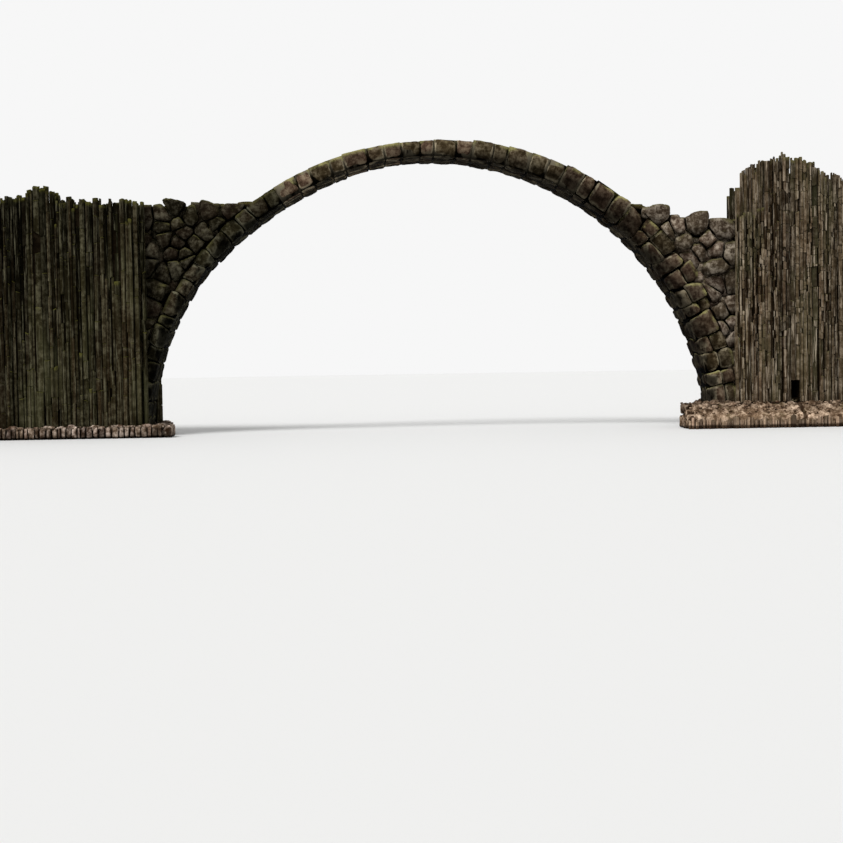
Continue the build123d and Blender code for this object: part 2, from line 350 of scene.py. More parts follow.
STREAKS = Effect(
    "weather_streaks",
    (("Color", COLOUR, GREY), ("Dark", COLOUR, GREY), ("Pale", COLOUR, GREY), ("Algae", COLOUR, GREY),
     ("Dark Amount", NUMBER, 0.5), ("Pale Amount", NUMBER, 0.5), ("Algae Amount", NUMBER, 0.4)),
    (("Color", COLOUR),),
    wire_streaks,
)


def wire_moss(graph: ShaderGraph, given: bpy.types.Node, result: bpy.types.Node) -> None:
    """Moss and dust that gather on what faces up and over the crests of ledges, in patches.

    Args:
        graph: The group's graph.
        given: The node with the group's inputs.
        result: The node with the group's outputs.
    """
    source = given.outputs
    normal = graph.add("ShaderNodeNewGeometry").outputs["Normal"]
    facing = graph.add("ShaderNodeSeparateXYZ", {0: normal}).outputs["Z"]
    here = graph.place()
    patches = graph.noise(here, scale=1.7, detail=5.0, roughness=0.6)
    tufts = graph.noise(here, scale=22.0, detail=4.0, roughness=0.7)
    upward = graph.plus(facing, graph.math("SUBTRACT", tufts, 0.5), share=0.9)
    spread = graph.plus(patches, source["Spread"], share=0.5)
    flat = graph.times(graph.smooth(upward, low=0.25, high=0.75), graph.smooth(spread, low=0.55, high=0.72))
    crest = graph.plus(graph.attribute("crest"), tufts, share=0.2)
    crest = graph.times(graph.smooth(crest, low=0.92, high=1.08), graph.smooth(patches, low=0.42, high=0.6))
    mask = graph.times(graph.math("MAXIMUM", flat, crest), source["Amount"])
    moss = graph.blend(tufts, source["Moss Dark"], source["Moss"])
    colour = graph.blend(mask, source["Color"], moss)
    rough = graph.math("MAXIMUM", source["Roughness"], graph.times(mask, 0.95))
    height = graph.plus(source["Height"], graph.times(mask, tufts), share=0.5)
    graph.link(result, {"Color": colour, "Roughness": rough, "Height": height})


MOSS = Effect(
    "moss_cover",
    (("Color", COLOUR, GREY), ("Roughness", NUMBER, 0.8), ("Height", NUMBER, 0.5), ("Moss", COLOUR, GREY),
     ("Moss Dark", COLOUR, GREY), ("Amount", NUMBER, 0.8), ("Spread", NUMBER, 0.2)),
    (("Color", COLOUR), ("Roughness", NUMBER), ("Height", NUMBER)),
    wire_moss,
)


def wire_wet_shade(graph: ShaderGraph, given: bpy.types.Node, result: bpy.types.Node) -> None:
    """A dark band at the foot of the stone, with a ragged upper edge: partly wet stone, partly painted shade
    of the undercut at the waterline.

    Args:
        graph: The group's graph.
        given: The node with the group's inputs.
        result: The node with the group's outputs.
    """
    source = given.outputs
    here = graph.place()
    level = graph.add("ShaderNodeSeparateXYZ", {0: here}).outputs["Z"]
    ragged = graph.math("SUBTRACT", graph.noise(here, scale=3.5), 0.5)
    share = graph.math("DIVIDE", graph.plus(level, ragged, share=0.12), source["Wet Shade Height"])
    # Painted shade together with real wetness: the foot of the stone darkens and turns glossier
    wet_shade = graph.smooth(share, low=1.0, high=0.55)
    dark = graph.blend(1.0, source["Color"], WET_SHADE_TONE, "MULTIPLY")
    colour = graph.blend(wet_shade, source["Color"], dark)
    rough = graph.math("SUBTRACT", source["Roughness"], graph.times(wet_shade, 0.45))
    graph.link(result, {"Color": colour, "Roughness": rough})


WET_SHADE = Effect(
    "wet_shade_band",
    (("Color", COLOUR, GREY), ("Roughness", NUMBER, 0.8), ("Wet Shade Height", NUMBER, 0.1)),
    (("Color", COLOUR), ("Roughness", NUMBER)),
    wire_wet_shade,
)


@dataclass(frozen=True)
class StoneFinish:
    """The finish of one kind of stone on the bridge."""

    name: str
    deep: Colour
    body: Colour
    pale: Colour
    warm: Colour
    moss: Colour = srgb(104, 102, 52)
    moss_dark: Colour = srgb(52, 50, 24)
    dark_amount: float = 0.6
    pale_amount: float = 0.5
    warm_amount: float = 0.6
    tint_range: float = 0.7
    lime_amount: float = 0.0
    moss_amount: float = 0.85
    moss_spread: float = 0.1
    streak_dark: float = 0.0
    streak_pale: float = 0.0
    algae: Colour = srgb(84, 84, 60)
    algae_amount: float = 0.28
    bump: float = 0.55
    bump_distance: float = 0.035
    wet_height: float = 0.1
    shine: float = 0.01

    @lru_cache(maxsize=None)
    def material(self) -> bpy.types.Material:
        """The material, built at its first use.

        Returns:
            A procedural stone material that reads the mesh's tint, warmth, joint, shade and crest numbers.
        """
        material = bpy.data.materials.new(self.name)
        material.use_nodes = True
        shader = material.node_tree.nodes["Principled BSDF"]
        graph = ShaderGraph(material.node_tree)
        stone = BASALT.place(graph, {
            "Deep": self.deep, "Body": self.body, "Pale": self.pale, "Warm": self.warm,
            "Dark Amount": self.dark_amount, "Pale Amount": self.pale_amount,
            "Warm Amount": self.warm_amount, "Lime Amount": self.lime_amount, "Tint Range": self.tint_range,
        })
        colour = stone.outputs["Color"]
        if self.streak_dark or self.streak_pale:
            streaks = STREAKS.place(graph, {
                "Color": colour, "Dark": self.deep, "Pale": self.pale, "Algae": self.algae,
                "Dark Amount": self.streak_dark, "Pale Amount": self.streak_pale,
                "Algae Amount": self.algae_amount,
            })
            colour = streaks.outputs["Color"]
        moss = MOSS.place(graph, {
            "Color": colour, "Roughness": stone.outputs["Roughness"], "Height": stone.outputs["Height"],
            "Moss": self.moss, "Moss Dark": self.moss_dark, "Amount": self.moss_amount,
            "Spread": self.moss_spread,
        })
        wet_shade = WET_SHADE.place(graph, {
            "Color": moss.outputs["Color"], "Roughness": moss.outputs["Roughness"],
            "Wet Shade Height": self.wet_height,
        })
        bump = graph.add("ShaderNodeBump", {
            "Height": moss.outputs["Height"], "Strength": self.bump, "Distance": self.bump_distance,
        })
        shader.inputs["Specular IOR Level"].default_value = self.shine
        graph.link(shader, {
            "Base Color": wet_shade.outputs["Color"], "Roughness": wet_shade.outputs["Roughness"],
            "Normal": bump.outputs["Normal"],
        })
        return material


RING_STONE = StoneFinish(
    "ring_stone", deep=srgb(28, 22, 13), body=srgb(70, 60, 44), pale=srgb(150, 139, 116),
    warm=srgb(100, 78, 67), moss=srgb(184, 178, 120), moss_dark=srgb(112, 106, 64), moss_spread=0.2,
    lime_amount=1.0, dark_amount=0.75,
)
SHADED_RING_STONE = StoneFinish(
    "shaded_ring_stone", deep=srgb(16, 14, 8), body=srgb(50, 46, 33), pale=srgb(116, 113, 94),
    warm=srgb(56, 44, 35), moss=srgb(98, 95, 62), moss_dark=srgb(50, 47, 28), moss_spread=0.3,
    lime_amount=0.7, dark_amount=0.75,
)
LIME_MORTAR = StoneFinish(
    "lime_mortar", deep=srgb(28, 22, 15), body=srgb(70, 60, 44), pale=srgb(150, 140, 118),
    warm=srgb(78, 62, 50), moss=srgb(178, 172, 118), moss_dark=srgb(106, 100, 60), moss_spread=0.4,
    lime_amount=1.0, bump_distance=0.02,
)
EARTH_MORTAR = StoneFinish(
    "earth_mortar", deep=srgb(14, 11, 7), body=srgb(34, 28, 19), pale=srgb(70, 62, 48), warm=srgb(40, 30, 22),
    moss_amount=0.4, bump_distance=0.02,
)
BOULDER_STONE = StoneFinish(
    "boulder_stone", deep=srgb(30, 23, 15), body=srgb(86, 75, 61), pale=srgb(186, 174, 156),
    warm=srgb(98, 78, 68), moss=srgb(122, 116, 84), moss_dark=srgb(70, 64, 42), moss_spread=0.25,
    dark_amount=0.75, pale_amount=0.75,
)
SHADED_BOULDER_STONE = StoneFinish(
    "shaded_boulder_stone", deep=srgb(15, 13, 8), body=srgb(42, 38, 28), pale=srgb(106, 102, 86),
    warm=srgb(50, 39, 33), moss=srgb(98, 95, 62), moss_dark=srgb(50, 47, 28), moss_spread=0.3,
    dark_amount=0.75,
)
COLUMN_STONE = StoneFinish(
    "column_stone", deep=srgb(34, 26, 17), body=srgb(76, 65, 50), pale=srgb(172, 158, 138),
    warm=srgb(88, 72, 58), streak_dark=0.5, streak_pale=0.7, moss_amount=0.75, moss_spread=0.25,
    moss=srgb(122, 116, 78), dark_amount=0.45, pale_amount=0.3, tint_range=1.2,
)
SHADED_COLUMN_STONE = StoneFinish(
    "shaded_column_stone", deep=srgb(14, 12, 7), body=srgb(38, 35, 24), pale=srgb(110, 106, 86),
    warm=srgb(46, 37, 27), streak_dark=0.5, streak_pale=0.5, moss_amount=0.8, moss_spread=0.3,
    dark_amount=0.4, pale_amount=0.3, tint_range=1.5,
)
# Dark rubble of the cores, dark also as painted shade where it shows through gaps in the cladding
RUBBLE_SHADE_STONE = StoneFinish(
    "rubble_stone", deep=srgb(16, 13, 9), body=srgb(34, 28, 20), pale=srgb(60, 52, 40), warm=srgb(40, 31, 24),
    moss_amount=0.5,
)
PATH_STONE = StoneFinish(
    "path_stone", deep=srgb(46, 38, 27), body=srgb(98, 86, 66), pale=srgb(150, 138, 115),
    warm=srgb(108, 88, 72), moss_spread=0.35,
)
PATH_EARTH = StoneFinish(
    "path_earth", deep=srgb(38, 32, 20), body=srgb(70, 60, 40), pale=srgb(106, 94, 68), warm=srgb(76, 60, 42),
    moss_spread=0.8, moss_amount=0.95,
)
PLINTH_STONE = StoneFinish(
    "dusty_plinth_rock", deep=srgb(46, 33, 22), body=srgb(116, 96, 77), pale=srgb(206, 182, 158),
    warm=srgb(126, 99, 82), moss_amount=0.3, moss_spread=0.0, bump=0.9, dark_amount=0.9, pale_amount=0.9,
    tint_range=1.2,
)
FOOTING_STONE = replace(
    PLINTH_STONE, name="dusty_footing_rock", body=srgb(112, 97, 82), pale=srgb(196, 178, 164),
    warm=srgb(120, 98, 86),
)
KERB_STONE = StoneFinish(
    "kerb_stone", deep=srgb(50, 37, 25), body=srgb(134, 114, 95), pale=srgb(206, 184, 162),
    warm=srgb(146, 120, 102), streak_dark=0.3, algae_amount=0.0, moss_amount=0.2, moss_spread=0.0,
    tint_range=1.2, dark_amount=0.3, pale_amount=0.35, wet_height=0.17,
)


# Meshes that every sub-assembly makes


def finished_piece(name: str, mesh: BMesh, finishes: Sequence[StoneFinish],
                   stands_for: Sequence[str] = (), smooth: bool = True) -> None:
    """Turn a bmesh into a piece of the object, riding on the bridge.

    Args:
        name: The piece's name.
        mesh: Its mesh, which is freed.
        finishes: Its stones, in the order of the faces' material numbers.
        stands_for: Frame nodes that the piece replaces.
        smooth: Whether its faces are shaded smooth.
    """
    data = bpy.data.meshes.new(name)
    for face in mesh.faces:
        face.smooth = smooth
    mesh.to_mesh(data)
    mesh.free()
    for finish in finishes:
        data.materials.append(finish.material())
    piece = bpy.data.objects.new(name, data)
    bpy.context.scene.collection.objects.link(piece)
    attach(piece, "root")
    if stands_for:
        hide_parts(*stands_for)
    triangles = sum(len(face.vertices) - 2 for face in data.polygons)
    LOG.info("%s: %d triangles", name, triangles)


def solids(node: str) -> list[np.ndarray]:
    """Take a frame node apart into its separate solids.

    Args:
        node: The node's name.

    Returns:
        The corners of each solid as one array, in the order of the solids' middles.
    """
    mesh = bmesh.new()
    mesh.from_mesh(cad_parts[node].data)
    bmesh.ops.remove_doubles(mesh, verts=mesh.verts, dist=MERGE_DISTANCE)
    waiting = set(mesh.verts)
    found = []
    while waiting:
        reached = [waiting.pop()]
        for vert in reached:
            for edge in vert.link_edges:
                other = edge.other_vert(vert)
                if other in waiting:
                    waiting.remove(other)
                    reached.append(other)
        found.append(np.array([vert.co[:] for vert in reached]))
    mesh.free()
    return sorted(found, key=lambda corners: tuple(corners.mean(axis=0).round(4)))


@lru_cache(maxsize=None)
def surface_of(node: str) -> BVHTree:
    """Prepare the faces of a frame node to be met by rays.

    Args:
        node: The node's name.

    Returns:
        The node's surface.
    """
    mesh = bmesh.new()
    mesh.from_mesh(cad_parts[node].data)
    surface = BVHTree.FromBMesh(mesh)
    mesh.free()
    return surface


def height_over(node: str, x: float, y: float) -> float | None:
    """The top of a frame node at one place in plan, or None where it isn't."""
    place = surface_of(node).ray_cast(Vector((x, y, RAY_HEIGHT)), -UP)[0]
    return place.z if place else None


def add_sheet(mesh: BMesh, x_ends: Sequence[float], y_ends: Sequence[float], steps: tuple[int, int]) -> None:
    """Add a flat sheet of small faces.

    Args:
        mesh: The mesh that it goes into.
        x_ends: Its two ends along X.
        y_ends: Its two ends along Y.
        steps: The number of its faces along X and along Y.
    """
    centre = Matrix.Translation((sum(x_ends) / 2, sum(y_ends) / 2, 0.0))
    size = Matrix.Diagonal((abs(x_ends[1] - x_ends[0]), abs(y_ends[1] - y_ends[0]), 1.0, 1.0))
    bmesh.ops.create_grid(mesh, x_segments=steps[0], y_segments=steps[1], size=0.5, matrix=centre @ size)


def close_below(mesh: BMesh, underside: Callable[[float], float]) -> None:
    """Turn a sheet into a closed slab.

    Args:
        mesh: The sheet's mesh.
        underside: The height of the slab's underside, from the height of its top.
    """
    made = bmesh.ops.extrude_face_region(mesh, geom=mesh.faces[:])
    for part in made["geom"]:
        if isinstance(part, bmesh.types.BMVert):
            part.co.z = underside(part.co.z)
    bmesh.ops.recalc_face_normals(mesh, faces=mesh.faces[:])


@dataclass(frozen=True)
class Lumps:
    """The uneven swelling of a rough surface."""

    scale: float
    smoothness: float
    octaves: int
    octave_step: float = 2.0

    def at(self, place: Vector, shift: Vector = ON_BASE) -> float:
        """How far the surface swells at a place."""
        return noise.fractal(place * self.scale + shift, self.smoothness, self.octave_step, self.octaves)


STONE_LUMPS = Lumps(scale=3.2, smoothness=0.8, octaves=4)
EARTH_LUMPS = Lumps(scale=3.0, smoothness=0.9, octaves=3)
ROCK_LUMPS = Lumps(scale=5.0, smoothness=0.55, octaves=6)


@dataclass(frozen=True)
class Cut:
    """One flat side of a stone: its way and distance, and how far it lies in a joint or in shade."""

    facing: Vector
    distance: float
    joint: float = 1.0
    shade: float = 0.0


def cut_through(facing: Vector, point: Vector, middle: Vector, gap: float = 0.0, joint: float = 1.0,
                shade: float = 0.0) -> Cut:
    """A cut through a point, held back by a gap, as seen from the middle of a stone."""
    facing = facing.normalized()
    return Cut(facing, facing.dot(point - middle) - gap, joint, shade)


def neighbour_cuts(seed: Vector, seeds: Sequence[Vector], reach: float, gap: float) -> list[Cut]:
    """The cuts halfway to each other seed within reach, held back by half a gap."""
    ways = [other - seed for other in seeds]
    return [Cut(way.normalized(), way.length / 2 - gap / 2) for way in ways if 0 < way.length < reach]


STONE_NUMBERS = ("tint", "warmth", "joint", "shade", "crest")
COLUMN_NUMBERS = ("warmth", "joint", "crest")


@dataclass
class StoneShaper:
    """Shapes rough stones in one mesh: each starts as an icosphere and is pressed against its cuts."""

    random: np.random.Generator
    detail: int = 4
    sharpness: float = 8.0
    lumps: float = 0.022
    chips: int = 5
    chip_depth: tuple[float, float] = (0.78, 0.94)
    # Painted shade: the share of a stone's painted shade that already reaches its middle
    gloom: float = 0.25
    least_distance: float = 0.03
    mesh: BMesh = field(default_factory=bmesh.new)

    def __post_init__(self) -> None:
        """Add the numbers that the stone finishes read."""
        self.layers = {name: self.mesh.verts.layers.float.new(name) for name in STONE_NUMBERS}

    def pressed(self, ways: np.ndarray, facings: np.ndarray, distances: np.ndarray) -> np.ndarray:
        """How far each way reaches past each cut, as a share raised to the sharpness."""
        return np.maximum(ways @ facings.T / distances, 0.0) ** self.sharpness

    def held_back(self, ways: np.ndarray, shares: np.ndarray) -> np.ndarray:
        """The ways, each as long as all cuts together leave it."""
        return ways / (shares.sum(axis=1) ** (1 / self.sharpness))[:, None]

    def add(self, middle: Vector, half_size: Sequence[float], cuts: Sequence[Cut],
            warmth: float | None = None, tint: float | None = None, painted_shade: Vector | None = None,
            crest: Vector | None = None) -> None:
        """Add one stone.

        Args:
            middle: A point well inside the stone.
            half_size: Rough half sizes along X, Y and Z, which spread its points.
            cuts: Its flat sides.
            warmth: How reddish it is, or None for chance.
            tint: How light it is, or None for chance.
            painted_shade: The way towards its side that is darkened with painted shade, as long as that shade
                is dark.
            crest: From its middle to its mossy top, or None where it has none.
        """
        verts = bmesh.ops.create_icosphere(self.mesh, subdivisions=self.detail, radius=1.0)["verts"]
        ways = np.array([vert.co[:] for vert in verts]) * np.array(half_size)
        facings = np.array([cut.facing[:] for cut in cuts])
        distances = np.array([max(cut.distance - self.lumps / 2, self.least_distance) for cut in cuts])
        points = self.held_back(ways, self.pressed(ways, facings, distances))
        chips = self.random.normal(size=(self.chips, 3))
        chips /= np.linalg.norm(chips, axis=1)[:, None]
        reaches = (points @ chips.T).max(axis=0) * self.random.uniform(*self.chip_depth, size=self.chips)
        shares = self.pressed(ways, np.vstack([facings, chips]), np.concatenate([distances, reaches]))
        points = self.held_back(ways, shares)
        shares = shares[:, :len(cuts)] / shares.sum(axis=1)[:, None]
        joints = shares @ np.array([cut.joint for cut in cuts])
        shades = shares @ np.array([cut.shade for cut in cuts])
        # Painted shade: the stone darkens towards one side, its underside or its side under the arch
        if painted_shade:
            sunk = points @ np.array(painted_shade.normalized())
            shades = np.maximum(shades, np.clip(self.gloom + sunk / sunk.max(), 0.0, 1.0) * painted_shade.length)
        crests = np.zeros(len(points))
        if crest:
            crests = np.maximum(0.0, 1.0 - crest.length + points @ np.array(crest.normalized()))
        own_tint, own_warmth = self.random.uniform(size=2)
        tint = own_tint if tint is None else tint
        warmth = own_warmth if warmth is None else warmth
        shift = Vector(self.random.uniform(-NOISE_SPAN, NOISE_SPAN, size=3))
        for vert, point, *spots in zip(verts, points, joints, shades, crests):
            way = Vector(point)
            vert.co = middle + way + way.normalized() * (STONE_LUMPS.at(way, shift) * self.lumps)
            for name, number in zip(STONE_NUMBERS, (tint, warmth, *spots)):
                vert[self.layers[name]] = number


def spread_seeds(random: np.random.Generator, low: Sequence[float], high: Sequence[float],
                 inside: Callable[[float, float], bool], spacing: float, rounds: int) -> list[np.ndarray]:
    """Evenly uneven points in a region of a plane.

    Args:
        random: The source of chance.
        low: Lowest corner of the region's box.
        high: Highest corner of the region's box.
        inside: Whether a place is in the region.
        spacing: Average distance between points.
        rounds: Times that each point moves to the middle of its share.

    Returns:
        The points.
    """
    tries = random.uniform(low, high, size=(SPREAD_TRIES, 2))
    samples = np.array([place for place in tries if inside(*place)])
    area = len(samples) / len(tries) * np.prod(np.subtract(high, low))
    seeds = samples[:max(1, round(area / spacing**2))].copy()
    for _ in range(rounds):
        nearest = np.linalg.norm(samples[:, None] - seeds[None], axis=2).argmin(axis=1)
        seeds = np.array([samples[nearest == index].mean(axis=0) for index in range(len(seeds))
                          if (nearest == index).any()])
    return list(seeds)


# The ring


class Row(IntEnum):
    """The stones of a ring block, from the front of the bridge to its back."""

    FRONT = 0
    MIDDLE = 1
    REAR = 2


@dataclass(frozen=True)
class StoneWork:
    """How true the stones of one stretch of the ring are cut and laid."""

    proud: tuple[float, float]
    lean: float
    tilt: float
    chamfer: float
    chip_depth: tuple[float, float]
    core_drop: float
    core_hold_back: float


CROWN_WORK = StoneWork(
    proud=(-0.02, 0.05), lean=0.1, tilt=0.05, chamfer=0.1, chip_depth=(0.84, 0.98), core_drop=0.03,
    core_hold_back=0.045,
)
HAUNCH_WORK = StoneWork(
    proud=(-0.05, 0.18), lean=0.28, tilt=0.24, chamfer=0.2, chip_depth=(0.74, 0.96), core_drop=0.05,
    core_hold_back=0.22,
)


@dataclass(frozen=True)
class RingBlock:
    """One block of the frame's ring, measured around the arch centre."""

    node: str
    low: float
    high: float
    back: float
    half_width: float

    @classmethod
    def measured(cls, node: str, corners: np.ndarray) -> "RingBlock":
        """Measure a block.

        Args:
            node: The frame node that it is part of.
            corners: The corners of its solid.

        Returns:
            The block, with its angles in degrees.
        """
        across, rise = corners[:, 0], corners[:, 2] - ARCH_CENTRE.z
        angles = np.degrees(np.arctan2(rise, across))
        back = np.hypot(across, rise).max()
        return cls(node, angles.min(), angles.max(), back, np.abs(corners[:, 1]).max())

    @property
    def middle(self) -> float:
        """The angle in the middle of the block."""
        return (self.low + self.high) / 2


def outward(angle: float) -> Vector:
    """The way out from the arch centre at an angle in degrees."""
    return Vector((cos(radians(angle)), 0.0, sin(radians(angle))))


def onward(angle: float) -> Vector:
    """The way along the ring at an angle in degrees, from right to left over the crown."""
    return Vector((-sin(radians(angle)), 0.0, cos(radians(angle))))


def height_at(angle: float) -> float:
    """The height of the ring's circle at an angle in degrees."""
    return (ARCH_CENTRE + outward(angle) * ARCH_RADIUS).z


def swell(place: float, low: float, high: float) -> float:
    """A smooth rise from 0 at a low place to 1 halfway, and back to 0 at a high one."""
    return sin(pi * held((place - low) / (high - low)))


@dataclass
class ArchRing:
    """The ring of rough wedge stones, three across the bridge in each block, with mortar in the joints."""

    seed: int = 11
    joint_gap: float = 0.004
    face_stone: tuple[float, float] = (0.55, 0.8)
    spare: float = 0.1
    rough_below: float = 7.6
    flat_foot_below: float = 1.2
    rear_chamfer: float = 0.02
    rough_back: tuple[float, float] = (-0.04, 0.17)
    soffit_joint: float = 0.3
    # Painted shade: how steeply each stone's shaded side falls, and how dark it is off the arch's underside,
    # on it, and on the shaded left
    painted_shade_fall: float = 0.5
    painted_shade: float = 0.7
    soffit_painted_shade: float = 0.9
    shaded_painted_shade: float = 0.6
    # Painted shade on the ring: its share at each stone's middle, more under the haunches between these
    # angles
    gloom: float = 0.25
    haunch_gloom: float = 0.75
    gloomy_between: tuple[float, float] = (14.0, 84.0)
    lit_painted_shade: float = 0.4
    lit_beyond: float = 95.0
    sag: float = 0.15
    sag_between: tuple[float, float] = (100.0, 145.0)
    split_below: float = 6.6
    split_chance: float = 0.75
    split_share: tuple[float, float] = (0.4, 0.66)
    core_inset: float = 0.05
    core_joint: float = 0.9
    core_steps: int = 3
    warm_blocks: tuple[int, ...] = (22, 24)
    sectors: tuple[str, ...] = (
        "right_foot", "right_haunch", "right_crown", "left_crown", "left_haunch", "left_foot",
    )
    shaded_sectors: tuple[str, ...] = ("left_haunch", "left_foot")
    limy_sectors: tuple[str, ...] = ("right_crown", "left_crown")

    def __post_init__(self) -> None:
        """Measure the blocks of the frame, in order from the right-hand foot."""
        nodes = [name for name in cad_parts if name.startswith("voussoirs_") or name == "keystone"]
        found = [RingBlock.measured(node, corners) for node in nodes for corners in solids(node)]
        self.blocks = sorted(found, key=lambda block: block.low)
        self.random = np.random.default_rng(self.seed)
        angles = [self.blocks[0].low] + [block.high for block in self.blocks]
        tilts = self.random.uniform(-1.0, 1.0, size=(len(angles), len(Row), 2))
        self.joints = [
            [self.joint_facing(angle, *pair) for pair in rows]
            for angle, rows in zip(angles, tilts)
        ]

    def work(self, angle: float) -> StoneWork:
        """The stonework at an angle: true over the crown, and rough down the haunches."""
        return HAUNCH_WORK if height_at(angle) < self.rough_below else CROWN_WORK

    def joint_facing(self, angle: float, twist: float, lean: float) -> Vector:
        """The way a joint faces, turned a little so that no two joints are parallel."""
        tilt = self.work(angle).tilt
        return (onward(angle) + (outward(angle) * lean + ACROSS * twist) * tilt).normalized()

    def back_at(self, angle: float) -> float:
        """The outer radius of the block at an angle."""
        return next((block.back for block in self.blocks if angle <= block.high), self.blocks[-1].back)

    def is_clear(self, x: float, z: float, gap: float) -> bool:
        """Whether a place in the bridge's long side is past the back of the ring by a gap."""
        rise = z - ARCH_CENTRE.z
        return hypot(x, rise) > self.back_at(degrees(atan2(rise, x))) + gap

    def cut_at_back(self, seed: Vector, gap: float = 0.0) -> Cut:
        """Cut a stone that lies against the back of the ring.

        Args:
            seed: The stone's middle.
            gap: The joint between the stone and the ring.

        Returns:
            The stone's side towards the ring.
        """
        angle = degrees(atan2(seed.z - ARCH_CENTRE.z, seed.x))
        on_back = ARCH_CENTRE + outward(angle) * self.back_at(angle)
        on_back.y = seed.y
        return cut_through(-outward(angle), on_back, seed, gap)

    def outer_radius(self, index: int) -> float:
        """Find the outer radius of a block's stones, even along the crown and stepped down the haunches.

        Args:
            index: The block's number from the right-hand foot.

        Returns:
            The radius in metres.
        """
        block = self.blocks[index]
        if self.work(block.middle) is HAUNCH_WORK or index in (0, len(self.blocks) - 1):
            return block.back
        near = self.blocks[index - 1:index + 2]
        return sum(other.back for other in near) / len(near)

    def inner_radius(self, block: RingBlock) -> float:
        """The inner radius of a block's stones, less where the ring has sagged."""
        return ARCH_RADIUS - self.sag * swell(block.middle, *self.sag_between)

    def stone_cuts(self, index: int, row: Row, edges: tuple[float, float], radii: tuple[float, float],
                   middle: Vector) -> list[Cut]:
        """The cuts of one stone of a block.

        Args:
            index: The block's number from the right-hand foot.
            row: The stone's place across the bridge.
            edges: The stone's lowest and highest Y.
            radii: Its inner and outer radius.
            middle: The stone's middle.

        Returns:
            Its six sides, the broken edge under its face, and one more at the foot of the ring.
        """
        block = self.blocks[index]
        out, work = outward(block.middle), self.work(block.middle)
        (front, rear), (inner, outer) = edges, radii
        radius, half = (inner + outer) / 2, (front + rear) / 2
        low_point = ARCH_CENTRE + outward(block.low) * radius + ACROSS * half
        high_point = ARCH_CENTRE + outward(block.high) * radius + ACROSS * half
        on_soffit = inner <= ARCH_RADIUS
        proud = self.random.uniform(*work.proud) if row is not Row.MIDDLE else 0.0
        lean = Vector(self.random.uniform(-1.0, 1.0, size=3)) * work.lean
        under_stone = float(outer < self.outer_radius(index))
        front_point = middle + ACROSS * (front - proud - half)
        rear_point = middle + ACROSS * (rear + proud - half)
        cuts = [
            cut_through(-self.joints[index][row], low_point, middle, self.joint_gap),
            cut_through(self.joints[index + 1][row], high_point, middle, self.joint_gap),
            # Painted shade: the arch's underside is marked fully in shade
            cut_through(-out, ARCH_CENTRE + out * inner, middle,
                        joint=self.soffit_joint if on_soffit else 1.0, shade=float(on_soffit)),
            cut_through(out, ARCH_CENTRE + out * outer, middle, joint=under_stone),
            cut_through(lean - ACROSS, front_point, middle, joint=float(row is not Row.FRONT)),
            cut_through(lean + ACROSS, rear_point, middle, joint=float(row is not Row.REAR)),
        ]
        # Painted shade: a chamfer along the lower edge of each face stone, fully in shade, widens the dark
        # band under the ring
        if on_soffit and row is not Row.MIDDLE:
            at_front = row is Row.FRONT
            beside = -ACROSS if at_front else ACROSS
            chamfer = work.chamfer if at_front else self.rear_chamfer
            edge = ARCH_CENTRE + out * inner + ACROSS * (front if at_front else rear) - beside * chamfer
            cuts.append(cut_through(beside - out, edge, middle, joint=self.soffit_joint, shade=1.0))
        if middle.z < self.flat_foot_below:
            cuts.append(cut_through(-UP, ON_BASE, middle))
        return cuts

    def painted_shade_on(self, block: RingBlock, on_soffit: bool) -> Vector:
        """Find the side of a stone that is darkened with painted shade.

        Args:
            block: The stone's block.
            on_soffit: Whether the stone shows under the arch.

        Returns:
            The way towards that side, as long as its painted shade is dark.
        """
        down = (-outward(block.middle) - UP * self.painted_shade_fall).normalized()
        if any(sector in block.node for sector in self.shaded_sectors):
            return down * self.shaded_painted_shade
        if block.middle > self.lit_beyond:
            return down * self.lit_painted_shade
        return down * (self.soffit_painted_shade if on_soffit else self.painted_shade)

    def add_block(self, shaper: StoneShaper, index: int) -> None:
        """Add the stones of one block.

        Args:
            shaper: The shaper that adds them.
            index: The block's number from the right-hand foot.
        """
        block = self.blocks[index]
        out = outward(block.middle)
        first = -block.half_width + self.random.uniform(*self.face_stone)
        second = block.half_width - self.random.uniform(*self.face_stone)
        lines = (-block.half_width, first, second, block.half_width)
        thick = height_at(block.middle) < self.split_below and block.middle < CROWN_ANGLE
        warmth = 1.0 if index in self.warm_blocks else None
        # Painted shade: stones under the haunches darken further, widening the dark band under the ring
        gloom = self.haunch_gloom * swell(block.middle, *self.gloomy_between)
        shaper.chip_depth = self.work(block.middle).chip_depth
        for row, edges in zip(Row, zip(lines, lines[1:])):
            radii = [self.inner_radius(block), self.outer_radius(index)]
            if thick and row is not Row.MIDDLE and self.random.uniform() < self.split_chance:
                share = self.random.uniform(*self.split_share)
                radii.insert(1, radii[0] + (radii[1] - radii[0]) * share)
                radii[-1] += self.random.uniform(*self.rough_back)
            for pair in zip(radii, radii[1:]):
                radius = sum(pair) / 2
                half_length = radians(block.high - block.low) * radius / 2 + self.spare
                middle = ARCH_CENTRE + out * radius + ACROSS * (sum(edges) / 2)
                size = (half_length, (edges[1] - edges[0]) / 2, half_length)
                on_soffit = pair[0] <= ARCH_RADIUS
                shaper.gloom = self.gloom + on_soffit * gloom
                crest = out * (radii[-1] - radius) if pair[1] == radii[-1] else None
                shaper.add(middle, size, self.stone_cuts(index, row, edges, pair, middle), warmth,
                           painted_shade=self.painted_shade_on(block, on_soffit), crest=crest)

